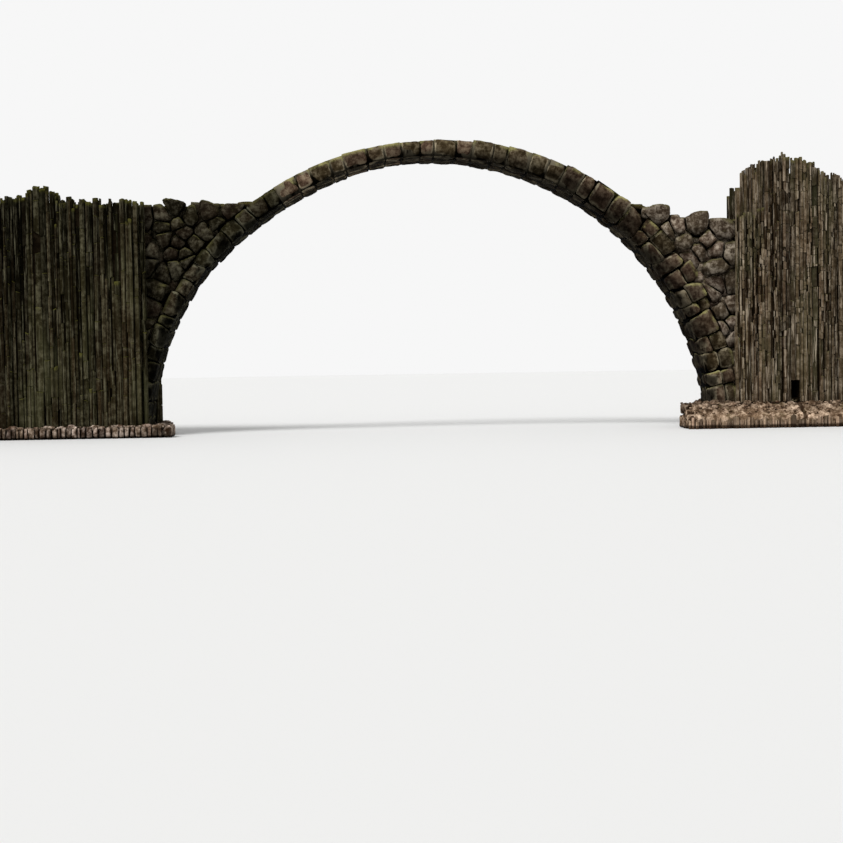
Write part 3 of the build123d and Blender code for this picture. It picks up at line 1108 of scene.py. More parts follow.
    def add_core(self, shaper: StoneShaper, index: int) -> None:
        """Add the mortar inside one block, spun around the arch centre.

        Args:
            shaper: The shaper that has the block's stones.
            index: The block's number from the right-hand foot.
        """
        block = self.blocks[index]
        work = self.work(block.middle)
        before = set(shaper.mesh.faces)
        inner = self.inner_radius(block)
        outer = self.outer_radius(index) - work.core_drop
        depth = outer - inner - self.core_inset
        width = 2 * (block.half_width - work.core_hold_back)
        centre = ARCH_CENTRE + outward(block.low) * (inner + self.core_inset + depth / 2)
        place = Matrix.Translation(centre) @ Matrix.Rotation(-radians(block.low), 4, "Y")
        size = Matrix.Diagonal((depth, width, 1.0, 1.0))
        grid = bmesh.ops.create_grid(shaper.mesh, x_segments=1, y_segments=1, size=0.5, matrix=place @ size)
        start = list({face for vert in grid["verts"] for face in vert.link_faces})
        profile = grid["verts"] + list({edge for face in start for edge in face.edges}) + start
        bmesh.ops.spin(shaper.mesh, geom=profile, cent=ARCH_CENTRE, axis=-ACROSS, steps=self.core_steps,
                       angle=radians(block.high - block.low), use_merge=False, use_duplicate=False)
        core = [face for face in shaper.mesh.faces if face not in before]
        bmesh.ops.recalc_face_normals(shaper.mesh, faces=core)
        for face in core:
            face.material_index = 1
            for vert in face.verts:
                radius = (vert.co - ARCH_CENTRE).xz.length
                vert[shaper.layers["joint"]] = self.core_joint
                # Painted shade on the mortar at the arch's underside
                vert[shaper.layers["shade"]] = float(radius < ARCH_RADIUS + 2 * self.core_inset)
                vert[shaper.layers["crest"]] = max(0.0, 1.0 - (outer - radius))

    def build(self) -> None:
        """Build and dress the stones, sector by sector, and the keystone."""
        groups = [(f"ring_stones_{sector}", (f"voussoirs_{sector}_a", f"voussoirs_{sector}_b"),
                   SHADED_RING_STONE if sector in self.shaded_sectors else RING_STONE)
                  for sector in self.sectors]
        groups.append(("keystone_stones", ("keystone",), RING_STONE))
        limy = [f"ring_stones_{sector}" for sector in self.limy_sectors] + ["keystone_stones"]
        for name, nodes, finish in groups:
            shaper = StoneShaper(self.random, sharpness=16.0, lumps=0.026, chips=6)
            for index, block in enumerate(self.blocks):
                if block.node in nodes:
                    self.add_block(shaper, index)
                    self.add_core(shaper, index)
            mortar = LIME_MORTAR if name in limy else EARTH_MORTAR
            finished_piece(name, shaper.mesh, (finish, mortar), nodes)


# The spandrels and the path


@dataclass
class Spandrel:
    """Boulder masonry between the ring and one abutment, on both faces."""

    side: Side
    ring: ArchRing
    first_seed: int = 31
    spacing: float = 0.56
    joint_gap: float = 0.02
    half_size: tuple[float, float, float] = (0.4, 0.3, 0.4)
    depth: float = 0.5
    middle_out: float = 0.03
    bulge: tuple[float, float] = (-0.06, 0.18)
    face_lean: tuple[float, float] = (-0.35, 0.35)
    face_tip: tuple[float, float] = (-0.15, 0.4)
    top_rise: tuple[float, float] = (-0.04, 0.2)
    top_lean: tuple[float, float] = (-0.3, 0.3)
    top_tip: tuple[float, float] = (-0.2, 0.2)
    reach: float = 2.4
    longest: float = 0.52
    longest_joint: float = 0.3
    # Painted shade on the boulders' undersides, on the lit right and on the shaded left
    painted_shade: float = 0.75
    shaded_painted_shade: float = 0.5
    innermost: float = 5.6
    highest: float = 8.6
    lowest: float = 0.05
    ring_gap: float = 0.06
    path_gap: float = 0.08
    hearting_spacing: float = 0.36
    hearting_depth: float = 0.4
    hearting_size: tuple[float, float] = (0.17, 0.27)
    hearting_joint: float = 0.5

    def __post_init__(self) -> None:
        """Read the places of the neighbours from the frame."""
        low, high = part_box(f"abutment_{self.side.label}")
        self.wall_x = low.x if self.side is Side.RIGHT else high.x
        self.walkway = f"walkway_{self.side.label}"

    def top_at(self, x: float) -> float | None:
        """The height of the paving over a place along the bridge."""
        return height_over(self.walkway, x, 0.0)

    def inside(self, x: float, z: float) -> bool:
        """Find whether a place in the long face is in the boulder masonry.

        Args:
            x: The place along the bridge.
            z: Its height.

        Returns:
            Whether it is off the base, before the abutment, past the ring and under the path.
        """
        sign = self.side.value
        if sign * x > sign * self.wall_x or z < self.lowest or not self.ring.is_clear(x, z, self.ring_gap):
            return False
        top = self.top_at(x)
        return top is not None and z < top - self.path_gap

    def cuts(self, seed: Vector, seeds: Sequence[Vector], face: Face,
             random: np.random.Generator) -> list[Cut]:
        """Cut the boulder around one seed.

        Args:
            seed: The boulder's middle.
            seeds: The middles of every boulder in the face.
            face: The long face that it is in.
            random: The source of chance.

        Returns:
            Its sides towards its neighbours, the ring, the abutment, the path and the open air.
        """
        cuts = neighbour_cuts(seed, seeds, self.reach, self.joint_gap)
        cuts.append(self.ring.cut_at_back(seed, self.joint_gap / 2))
        cuts.append(cut_through(ALONG * self.side.value, ALONG * self.wall_x, seed, self.joint_gap / 2))
        top = (self.top_at(seed.x) or seed.z) + random.uniform(*self.top_rise)
        slope = Vector((random.uniform(*self.top_lean), random.uniform(*self.top_tip), 1.0))
        cuts.append(cut_through(slope, Vector((seed.x, seed.y, top)), seed, joint=0.0))
        cuts.append(cut_through(-UP, ON_BASE, seed))
        cuts += [Cut(way, self.longest, joint=self.longest_joint) for way in (ALONG, -ALONG, UP, -UP)]
        outer = ACROSS * face.value
        bulge = HALF_ARCH + random.uniform(*self.bulge)
        lean = Vector((random.uniform(*self.face_lean), 0, random.uniform(*self.face_tip)))
        on_face = outer * bulge + Vector((seed.x, 0, seed.z))
        cuts.append(cut_through(outer + lean, on_face, seed, joint=0.0))
        cuts.append(cut_through(-outer, outer * (HALF_ARCH - self.depth), seed))
        return cuts

    def build_face(self, face: Face) -> None:
        """Build the boulders of one long face, with smaller hearting stones behind their joints.

        Args:
            face: The long face.
        """
        random = np.random.default_rng(seed_of(self.first_seed, self.side, face))
        lit = self.side is Side.RIGHT
        # Painted shade darkens the boulders' undersides, less on the left, whose finish is already the shaded
        # copy
        painted_shade = -UP * (self.painted_shade if lit else self.shaded_painted_shade)
        ends = sorted((self.wall_x, self.side.value * self.innermost))
        region = (ends[0], 0.0), (ends[1], self.highest)
        shaper = StoneShaper(random, sharpness=26.0, lumps=0.034, chips=9, chip_depth=(0.72, 0.96))
        middle_y = face.value * (HALF_ARCH - self.depth / 2 + self.middle_out)
        places = spread_seeds(random, *region, self.inside, self.spacing, rounds=1)
        seeds = [Vector((x, middle_y, z)) for x, z in places]
        for seed in seeds:
            shaper.add(seed, self.half_size, self.cuts(seed, seeds, face, random), painted_shade=painted_shade)
        shaper.detail = 3
        for x, z in spread_seeds(random, *region, self.inside, self.hearting_spacing, rounds=1):
            heart = Vector((x, face.value * (HALF_ARCH - self.hearting_depth), z))
            sizes = random.uniform(*self.hearting_size, size=3)
            cuts = [
                Cut(way * sign, size, joint=self.hearting_joint)
                for way, size in zip((ALONG, ACROSS, UP), sizes)
                for sign in (1, -1)
            ]
            shaper.add(heart, sizes, cuts, painted_shade=painted_shade)
        place = f"{face.label}_{self.side.label}"
        finish = BOULDER_STONE if lit else SHADED_BOULDER_STONE
        finished_piece(f"boulders_{place}", shaper.mesh, (finish,),
                       (f"spandrel_wall_{place}",))

    def build(self) -> None:
        """Build and dress both faces."""
        for face in Face:
            self.build_face(face)


@dataclass
class Path:
    """Worn flagstones in mossy earth, from the ring to one end of the bridge."""

    side: Side
    ring: ArchRing
    first_seed: int = 53
    spacing: float = 0.4
    joint_gap: float = 0.03
    reach: float = 1.4
    half_size: tuple[float, float, float] = (0.28, 0.28, 0.1)
    thickness: float = 0.13
    top_rise: tuple[float, float] = (-0.01, 0.02)
    top_lean: tuple[float, float] = (-0.06, 0.06)
    narrow: float = 0.6
    wide: float = 0.97
    verge: float = 0.1
    ring_gap: float = 0.02
    margin: float = 0.01
    earth_steps: tuple[int, int] = (90, 10)
    earth_drop: float = 0.035
    earth_lumps: float = 0.02

    def __post_init__(self) -> None:
        """Read the path's ends from the frame."""
        self.node = f"walkway_{self.side.label}"
        self.low, self.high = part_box(self.node)
        self.inner_x, self.outer_x = sorted((abs(self.low.x), abs(self.high.x)))
        near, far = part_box(f"abutment_{self.side.label}")
        self.wall_x = min(abs(near.x), abs(far.x))

    def half_width(self, x: float) -> float:
        """Half the room for the path: between the boulders, then between the tall columns."""
        return self.wide if abs(x) > self.wall_x else self.narrow

    def inside(self, x: float, y: float) -> bool:
        """Find whether a place in plan is on the path.

        Args:
            x: The place along the bridge.
            y: The place across it.

        Returns:
            Whether it is over the walkway, off its verges and past the ring.
        """
        top = height_over(self.node, x, y)
        if top is None or abs(y) > self.half_width(x) - self.verge:
            return False
        return self.ring.is_clear(x, top, self.ring_gap)

    def earth(self) -> None:
        """Build the bed of mossy earth between the flagstones."""
        mesh = bmesh.new()
        add_sheet(mesh, (self.low.x, self.high.x), (-HALF_ARCH, HALF_ARCH), self.earth_steps)
        for vert in mesh.verts:
            vert.co.y *= self.half_width(vert.co.x) - self.margin
            reach = min(max(abs(vert.co.x), self.inner_x + 2 * self.margin), self.outer_x - self.margin)
            top = height_over(self.node, self.side.value * reach, 0.0) or self.low.z
            vert.co.z = top - self.earth_drop + EARTH_LUMPS.at(vert.co) * self.earth_lumps
        close_below(mesh, lambda height: height - self.thickness)
        finished_piece(f"path_earth_{self.side.label}", mesh, (PATH_EARTH,), (self.node,))

    def flagstones(self) -> None:
        """Build the flagstones."""
        random = np.random.default_rng(self.first_seed + self.side.value)
        shaper = StoneShaper(random, detail=3, sharpness=8.0, lumps=0.012, chips=3, chip_depth=(0.85, 0.97))
        places = spread_seeds(random, self.low.xy, self.high.xy, self.inside, self.spacing, rounds=6)
        plan = [Vector((x, y, 0.0)) for x, y in places]
        seeds = [Vector((x, y, height_over(self.node, x, y) - self.thickness / 2)) for x, y in places]
        end = ALONG * self.side.value
        for spot, seed in zip(plan, seeds):
            cuts = neighbour_cuts(spot, plan, self.reach, self.joint_gap)
            for facing in (ACROSS, -ACROSS):
                cuts.append(cut_through(facing, facing * self.half_width(seed.x), seed, self.joint_gap))
            cuts.append(cut_through(end, end * self.outer_x, seed))
            cuts.append(self.ring.cut_at_back(seed))
            lean = Vector((random.uniform(*self.top_lean), random.uniform(*self.top_lean), 0))
            top = seed + UP * (self.thickness / 2 + random.uniform(*self.top_rise))
            cuts.append(cut_through(UP + lean, top, seed, joint=0.0))
            cuts.append(cut_through(-UP, seed - UP * self.thickness / 2, seed))
            shaper.add(seed, self.half_size, cuts)
        finished_piece(f"flagstones_{self.side.label}", shaper.mesh, (PATH_STONE,))

    def build(self) -> None:
        """Build and dress the path."""
        self.earth()
        self.flagstones()


# The columns


@dataclass(frozen=True)
class ColumnPlan:
    """Where one basalt column stands: its middle, half width, foot and top."""

    middle: Vector
    radius: float
    foot: float
    top: float


@dataclass
class ColumnRow:
    """Broken basalt columns in place of one row of the frame's plain ones."""

    node: str
    name: str
    facing: Vector
    finish: StoneFinish
    seed: int
    slot: str = "column_basalt"
    shares: tuple[float, ...] = (0.4, 0.6)
    widths: tuple[float, float] = (0.75, 1.25)
    fullness: float = 1.08
    seat: float = 0.9
    standing: tuple[float, float] = (-0.07, 0.02)
    top_drop: float = 0.2
    side_counts: tuple[int, ...] = (5, 6, 6, 6, 7)
    first_corner: tuple[float, float] = (0.1, 0.9)
    corner_shift: tuple[float, float] = (-0.16, 0.16)
    corner_reach: tuple[float, float] = (0.92, 1.08)
    piece_heights: tuple[tuple[float, float], ...] = ((0.0, 0.9),)
    piece_spread: float = 0.6
    piece_width: tuple[float, float] = (0.93, 1.04)
    shortest: float = 0.12
    shortest_top: float = 0.4
    crack: float = 0.007
    break_slope: float = 0.3
    broken_top: float = 0.05
    deepest_top: float = 0.6
    drift: float = 0.012
    chance_back: float = 0.2
    step_back: tuple[float, float] = (0.02, 0.06)
    ledge_chance: float = 0.3
    ledge_depth: tuple[float, float] = (0.05, 0.11)
    arris: float = 0.015
    # Painted shade and dirt in the grooves: how fast the darkening grows towards a column's back, and its
    # share at the middle
    groove_shade: float = 0.9
    groove_shade_middle: float = 0.75
    face_range: float = 0.22
    piece_range: float = 0.08
    # Painted shade from trees: how far the tint falls from a column's foot to its top, and where along it the
    # tint is unchanged
    fade: float = 0.0
    fade_middle: float = 0.6
    rubbly: tuple[float, float] | None = None
    rubbly_heights: tuple[tuple[float, float], ...] = ((0.0, 0.5), (3.2, 0.24))
    rubbly_tint: float = 0.7
    pale: tuple[float, float] | None = None
    pale_tint: float = 1.0
    hollow: tuple[float, float, float] | None = None

    def plans(self, random: np.random.Generator) -> list[ColumnPlan]:
        """Read the frame's columns and split most of them in two or three.

        Args:
            random: The source of chance.

        Returns:
            The places of the row's columns.
        """
        found = []
        beside = self.facing.cross(UP)
        for corners in solids(self.node):
            low, high = Vector(corners.min(axis=0)), Vector(corners.max(axis=0))
            middle = (low + high) / 2
            width = abs(beside.dot(high - low))
            depth = abs(self.facing.dot(high - low)) / 2
            count = 1 + int(random.choice(len(self.shares), p=self.shares))
            sizes = random.uniform(*self.widths, size=count)
            sizes *= width / sizes.sum()
            most_drop = min(self.top_drop, (high - low).z / 3)
            edge = -width / 2
            for size in sizes:
                radius = size / 2 * self.fullness
                out = depth - radius * self.seat + random.uniform(*self.standing)
                place = middle + beside * (edge + size / 2) + self.facing * out
                top = high.z - (random.uniform(0, most_drop) if count > 1 else 0.0)
                found.append(ColumnPlan(place, radius, low.z, top))
                edge += size
        return found

    def is_rubbly(self, plan: ColumnPlan) -> bool:
        """Whether a column stands in the stretch that is broken into short pale pieces."""
        return bool(self.rubbly) and self.rubbly[0] < plan.middle.x < self.rubbly[1]

    def hollow_in(self, plan: ColumnPlan) -> tuple[float, float] | None:
        """The heights between which a column has lost its stone, or None where it is whole."""
        struck = self.hollow and abs(plan.middle.x - self.hollow[0]) < plan.radius
        return self.hollow[1:] if struck else None

    def breaks(self, plan: ColumnPlan, random: np.random.Generator) -> list[float]:
        """Break one column across.

        Args:
            plan: The column's place.
            random: The source of chance.

        Returns:
            The heights of its breaks, from its foot to its top.
        """
        lengths = self.rubbly_heights if self.is_rubbly(plan) else self.piece_heights
        heights = [plan.foot]
        while plan.top - heights[-1] > self.shortest_top:
            length = [length for start, length in lengths if heights[-1] >= start][-1]
            step = length * float(np.exp(random.normal(0, self.piece_spread)))
            heights.append(heights[-1] + max(self.shortest, step))
        heights = [*(heights[:-1] or heights), plan.top]
        hollow = self.hollow_in(plan)
        if hollow:
            low, high = hollow[0] - self.shortest, hollow[1] + self.shortest
            heights = sorted([*(height for height in heights if not low < height < high), *hollow])
        return heights

    def outline(self, radius: float, sides: int, random: np.random.Generator) -> np.ndarray:
        """Draw the uneven section of one column.

        Args:
            radius: Half the column's width.
            sides: The number of its sides.
            random: The source of chance.

        Returns:
            The corners of the section around its middle.
        """
        starts = np.arange(sides) + random.uniform(*self.first_corner)
        starts += random.uniform(*self.corner_shift, size=sides)
        turns = -pi + starts / sides * 2 * pi
        reach = radius * random.uniform(*self.corner_reach, size=sides)
        return np.column_stack([np.cos(turns) * reach, np.sin(turns) * reach])

    def add_piece(self, mesh: BMesh, plan: ColumnPlan, outline: np.ndarray, foot: float, top: float,
                  random: np.random.Generator) -> list[bmesh.types.BMVert]:
        """Add one piece of a column between two breaks.

        Args:
            mesh: The row's mesh.
            plan: The column's place.
            outline: The column's corners around its middle.
            foot: The lower break.
            top: The upper break.
            random: The source of chance.

        Returns:
            The piece's corners, the lower ones first.
        """
        spot = Vector((plan.middle.x, plan.middle.y, (foot + top) / 2))
        made = bmesh.ops.create_cone(
            mesh, cap_ends=True, cap_tris=False, segments=len(outline), radius1=1.0, radius2=1.0,
            depth=top - foot - self.crack, matrix=Matrix.Translation(spot),
        )
        step = random.normal(0, self.drift, size=2)
        if random.uniform() < self.chance_back:
            step -= np.array(self.facing.xy) * random.uniform(*self.step_back)
        scale = random.uniform(*self.piece_width)
        corners = sorted(made["verts"], key=lambda vert: vert.co.z)
        for level in (corners[:len(outline)], corners[len(outline):]):
            level.sort(key=lambda vert: atan2(vert.co.y - spot.y, vert.co.x - spot.x))
            for vert, corner in zip(level, outline):
                vert.co.x, vert.co.y = np.array(plan.middle.xy) + corner * scale + step
        return corners

    def dress_piece(self, mesh: BMesh, plan: ColumnPlan, corners: Sequence[bmesh.types.BMVert], warmth: float,
                    tints: np.ndarray, crests: Sequence[float]) -> None:
        """Write the numbers that the finish reads onto one piece.

        Args:
            mesh: The row's mesh.
            plan: The column's place.
            corners: The piece's corners, the lower ones first.
            warmth: How reddish it is.
            tints: How light each of its sides is.
            crests: How mossy its lower and its upper corners are.
        """
        sides = len(tints)
        layers = {name: mesh.verts.layers.float[name] for name in COLUMN_NUMBERS}
        for number, vert in enumerate(corners):
            forward = self.facing.dot(vert.co - plan.middle) / plan.radius
            vert[layers["warmth"]] = warmth
            # Painted shade and dirt: each column darkens towards its back, where it sinks into the grooves
            # between columns
            vert[layers["joint"]] = held(self.groove_shade_middle - forward * self.groove_shade)
            vert[layers["crest"]] = crests[number // sides]
        for face in {face for vert in corners for face in vert.link_faces}:
            places = sorted(corners.index(vert) for vert in face.verts)
            side = places[0] % sides if places[1] - places[0] == 1 else -1
            face[mesh.faces.layers.float["tint"]] = held(tints[side])

    def add_column(self, mesh: BMesh, plan: ColumnPlan,
                   random: np.random.Generator) -> list[bmesh.types.BMEdge]:
        """Add one column, piece by piece.

        Args:
            mesh: The row's mesh.
            plan: The column's place.
            random: The source of chance.

        Returns:
            The rims of its pieces, which are bevelled later in one go.
        """
        sides = int(random.choice(self.side_counts))
        outline = self.outline(plan.radius, sides, random)
        tint, warmth = random.uniform(size=2)
        if self.pale and self.pale[0] < plan.middle.x < self.pale[1]:
            tint = self.pale_tint
        if self.is_rubbly(plan):
            tint = max(tint, self.rubbly_tint)
        tones = random.normal(0, self.face_range, size=sides)
        heights = self.breaks(plan, random)
        slopes = random.normal(0, self.break_slope, size=(len(heights), 2))
        slopes[0] = 0.0
        ledge = random.uniform(plan.foot, plan.top) if random.uniform() < self.ledge_chance else plan.top
        back = np.array(self.facing.xy) * random.uniform(*self.ledge_depth)
        hollow = self.hollow_in(plan)
        rims = []
        for index, (foot, top) in enumerate(zip(heights, heights[1:])):
            if hollow and hollow[0] < (foot + top) / 2 < hollow[1]:
                continue
            section = outline - back if foot > ledge else outline
            corners = self.add_piece(mesh, plan, section, foot, top, random)
            for number, vert in enumerate(corners):
                upper = number // sides
                lift = slopes[index + upper] @ np.array((vert.co - plan.middle).xy)
                if upper and top == plan.top:
                    drop = abs(lift) + random.uniform(0, self.broken_top)
                    lift = -min(drop, (top - foot) * self.deepest_top)
                vert.co.z += lift
            # Painted shade from trees: on the left, columns are lighter at the foot and darker higher up
            fade = self.fade * (self.fade_middle - foot / plan.top)
            tints = tint + random.normal(0, self.piece_range) + fade + tones
            crested = top == plan.top or foot <= ledge < top
            crests = (1.0 - (top - foot), 1.0) if crested else (0.0, 0.0)
            self.dress_piece(mesh, plan, corners, warmth, tints, crests)
            lower = corners[:sides]
            edges = {edge for vert in corners for edge in vert.link_edges}
            rims += [edge for edge in edges if (edge.verts[0] in lower) == (edge.verts[1] in lower)]
        return rims

    def build(self) -> None:
        """Build and dress the row."""
        random = np.random.default_rng(self.seed)
        mesh = bmesh.new()
        for layer in COLUMN_NUMBERS:
            mesh.verts.layers.float.new(layer)
        mesh.faces.layers.float.new("tint")
        rims = []
        for plan in self.plans(random):
            rims += self.add_column(mesh, plan, random)
        bmesh.ops.bevel(mesh, geom=rims, offset=self.arris, offset_type="OFFSET", segments=1, profile=0.5,
                        affect="EDGES", clamp_overlap=True, material=-1)
        finished_piece(self.name, mesh, (self.finish,), (self.node,), smooth=False)


@dataclass
class Cladding:
    """Every row of columns on one abutment."""

    side: Side
    first_seed: int = 100
    side_seeds: int = 40
    face_seeds: int = 10
    # Painted shade from trees on the left columns
    left_fade: float = 0.9
    left_pale: float = 1.1
    corner: tuple[float, float] = (-0.1, 0.12)
    rubbly_end: float = 1.0
    hollow: tuple[float, float, float] = (1.1, 4.85, 5.7)

    def __post_init__(self) -> None:
        """Choose the finish, the first seed and the painted tree shade of this side's columns."""
        left = self.side is Side.LEFT
        self.finish = SHADED_COLUMN_STONE if left else COLUMN_STONE
        self.seed = self.first_seed + self.side_seeds * left
        self.fade = self.left_fade * left

    def long_row(self, face: Face, seed: int) -> ColumnRow:
        """Plan the long row of one face.

        Args:
            face: The long face.
            seed: The row's seed.

        Returns:
            The row, much broken and lighter at its corner on the right, and paler at its corner on the left.
        """
        place = f"{face.label}_{self.side.label}"
        row = ColumnRow(f"columns_{place}", f"basalt_columns_{place}", ACROSS * face.value, self.finish, seed,
                        fade=self.fade)
        low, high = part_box(f"abutment_{self.side.label}")
        if self.side is Side.LEFT:
            return replace(row, pale=(high.x - self.left_pale, 0.0), pale_tint=0.75)
        corner = [low.x + reach for reach in self.corner]
        return replace(
            row, shares=(0.15, 0.5, 0.35), piece_heights=((0.0, 0.65), (2.8, 0.36)), piece_range=0.13,
            chance_back=0.3, pale=(corner[0], corner[1]), rubbly=(corner[1], low.x + self.rubbly_end),
            hollow=(low.x + self.hollow[0], *self.hollow[1:]),
        )

    def rows(self) -> list[ColumnRow]:
        """Plan every row.

        Returns:
            The long, tall and inner rows of both faces, and the row at the end of the bridge.
        """
        inward = -ALONG * self.side.value
        seed = self.seed
        rows = []
        for face in Face:
            facing = ACROSS * face.value
            place = f"{face.label}_{self.side.label}"
            rows.append(self.long_row(face, seed))
            rows.append(ColumnRow(
                f"tall_columns_{place}", f"tall_basalt_columns_{place}", facing, self.finish, seed + 1,
                shares=(0.3, 0.7), piece_heights=((0.0, 1.6),), ledge_chance=0.0, standing=(-0.04, 0.02),
                groove_shade=0.55, face_range=0.13,
            ))
            rows.append(ColumnRow(
                f"inner_columns_{place}", f"mouth_columns_{place}", inward, self.finish, seed + 2,
                shares=(0.85, 0.15), ledge_chance=0.0, groove_shade=0.4, fade=self.fade,
            ))
            seed += self.face_seeds
        end = self.side.label
        rows.append(ColumnRow(f"end_columns_{end}", f"end_basalt_columns_{end}", -inward, self.finish, seed))
        return rows

    def build(self) -> None:
        """Build and dress every row."""
        for row in self.rows():
            row.build()


# The low bases


@dataclass
class Base:
    """One low base before an abutment: its rough body, its edge stones, and the loose stones on it."""

    side: Side
    face: Face
    first_seed: int = 400
    kerb_seeds: int = 50
    edge_depth: float = 0.34
    edge_overlap: float = 0.8
    edge_width: tuple[float, float] = (0.22, 0.42)
    stub_width: tuple[float, float] = (0.11, 0.24)
    narrowest: float = 0.1
    edge_lean: tuple[float, float] = (-0.06, 0.06)
    two_courses_over: float = 0.55
    course_share: tuple[float, float] = (0.42, 0.58)
    edge_painted_shade: float = 0.5
    joint_gap: float = 0.008
    grid: float = 0.05
    margin: float = 0.01
    roughness: float = 0.07
    rock_middle: float = 0.4
    patch_scale: float = 1.3
    patch_range: float = 0.35
    dusty: float = 0.95
    browning: float = 1.1
    brownest: float = 0.1
    gully_x: float = 12.79
    gully_half_width: float = 0.1
    gully_joint: float = 0.8
    gravel: tuple[float, float] = (0.02, 0.06)
    rubble: tuple[float, float] = (0.07, 0.16)
    gravel_each_metre: int = 45
    rubble_each_metre: int = 9
    rubble_reach: float = 0.8
    rubble_crowding: float = 1.6
    flatness: tuple[float, float] = (0.45, 0.8)
    sunk: tuple[float, float] = (-0.3, 0.1)
    loose_sides: tuple[float, float, float, float] = (1.0, 0.9, 0.8, 0.9)
    loose_tint: tuple[float, float] = (-0.2, 0.35)
    loose_painted_shade: float = 0.6

    def __post_init__(self) -> None:
        """Read the base's place from the frame."""
        kind = "plinth" if self.side is Side.RIGHT else "footing"
        self.node = f"{kind}_{self.face.label}_{self.side.label}"
        self.low, self.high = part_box(self.node)
        self.seed = seed_of(self.first_seed, self.side, self.face)
        self.random = np.random.default_rng(self.seed)
        self.inner_x = self.low.x if self.side is Side.RIGHT else self.high.x
        self.outer_y = self.low.y if self.face is Face.FRONT else self.high.y
        self.kerbed = self.side is Side.RIGHT
        self.finish = PLINTH_STONE if self.kerbed else FOOTING_STONE

    def top_at(self, x: float, y: float) -> float:
        """Find the height of the base.

        Args:
            x: The place along the bridge.
            y: The place across it.

        Returns:
            The height of its top there, or at its nearest edge for a place beside it.
        """
        x = min(max(x, self.low.x + self.margin), self.high.x - self.margin)
        y = min(max(y, self.low.y + self.margin), self.high.y - self.margin)
        return height_over(self.node, x, y) or self.high.z

    def in_gully(self, x: float, room: float = 0.0) -> bool:
        """Whether a place along the base is in the gully, or within a room beside it."""
        has_gully = self.kerbed and self.face is Face.FRONT
        return has_gully and abs(x - self.gully_x) < self.gully_half_width + room

    def lightness(self, y: float) -> float:
        """How light the rock is across the base: dusty at its free side, brown by the wall."""
        share = abs(y - self.outer_y) / (self.high.y - self.low.y)
        return max(self.brownest, self.dusty - self.browning * share)

    def body(self) -> None:
        """Build the rough body, held back behind the edge stones."""
        sign, out = self.side.value, self.face.value
        held_back = self.edge_depth * self.edge_overlap
        start = self.inner_x + sign * held_back
        edge = self.outer_y if self.kerbed else self.outer_y - out * held_back
        far = self.high.x if sign > 0 else self.low.x
        rear = self.high.y if out < 0 else self.low.y
        steps = round(abs(far - start) / self.grid), round(abs(edge - rear) / self.grid)
        mesh = bmesh.new()
        layers = {name: mesh.verts.layers.float.new(name) for name in STONE_NUMBERS}
        add_sheet(mesh, (start, far), (edge, rear), steps)
        for vert in mesh.verts:
            lump = ROCK_LUMPS.at(vert.co) - self.rock_middle
            vert.co.z = self.top_at(vert.co.x, vert.co.y) + lump * self.roughness
            patch = noise.noise(vert.co * self.patch_scale) * self.patch_range
            vert[layers["tint"]] = self.lightness(vert.co.y) + patch
            vert[layers["joint"]] = self.gully_joint if self.in_gully(vert.co.x) else 0.0
        close_below(mesh, lambda height: 0.0)
        finished_piece(f"{self.node}_body", mesh, (self.finish,), (self.node,))

    def edge_stone(self, shaper: StoneShaper, low: Vector, high: Vector, front: Vector) -> None:
        """Add the stones of one stretch of a free side, in one or two courses.

        Args:
            shaper: The shaper that adds them.
            low: The stretch's lowest corner.
            high: The stretch's highest corner.
            front: The way that its free side faces.
        """
        centre = (low + high) / 2
        top = self.top_at(centre.x, centre.y)
        levels = [0.0, top]
        if top > self.two_courses_over:
            levels.insert(1, top * self.random.uniform(*self.course_share))
        for foot, head in zip(levels, levels[1:]):
            middle = centre + UP * ((foot + head) / 2)
            cuts = [
                cut_through(facing + Vector(self.random.uniform(*self.edge_lean, size=3)), point, middle,
                            self.joint_gap, joint=float(facing != front))
                for facing, point in ((ALONG, high), (-ALONG, low), (ACROSS, high), (-ACROSS, low))
            ]
            cuts.append(cut_through(UP, UP * head, middle, joint=float(head < top)))
            cuts.append(cut_through(-UP, UP * foot, middle, joint=float(foot > 0)))
            # Painted shade darkens the edge stones towards their undersides
            shaper.add(middle, (high - low) / 2 + UP * (head - foot) / 2, cuts, painted_shade=-UP * self.edge_painted_shade)

    def edge_stones(self) -> None:
        """Build the edge stones at the arch-side end, and on the long side where there is no kerb."""
        shaper = StoneShaper(self.random, detail=3, sharpness=18.0, lumps=0.03, chips=6,
                             chip_depth=(0.8, 0.97))
        inner = sorted((self.inner_x, self.inner_x + self.side.value * self.edge_depth))
        place = self.low.y
        while place < self.high.y - self.narrowest:
            width = min(self.random.uniform(*self.edge_width), self.high.y - place)
            self.edge_stone(shaper, Vector((inner[0], place, 0)), Vector((inner[1], place + width, 0)),
                            -ALONG * self.side.value)
            place += width
        if not self.kerbed:
            outer = sorted((self.outer_y, self.outer_y - self.face.value * self.edge_depth))
            end = self.high.x - self.edge_depth
            place = self.low.x
            while place < end - self.narrowest:
                width = min(self.random.uniform(*self.stub_width), end - place)
                self.edge_stone(shaper, Vector((place, outer[0], 0)), Vector((place + width, outer[1], 0)),
                                ACROSS * self.face.value)
                place += width
        finished_piece(f"{self.node}_edge", shaper.mesh, (self.finish,))

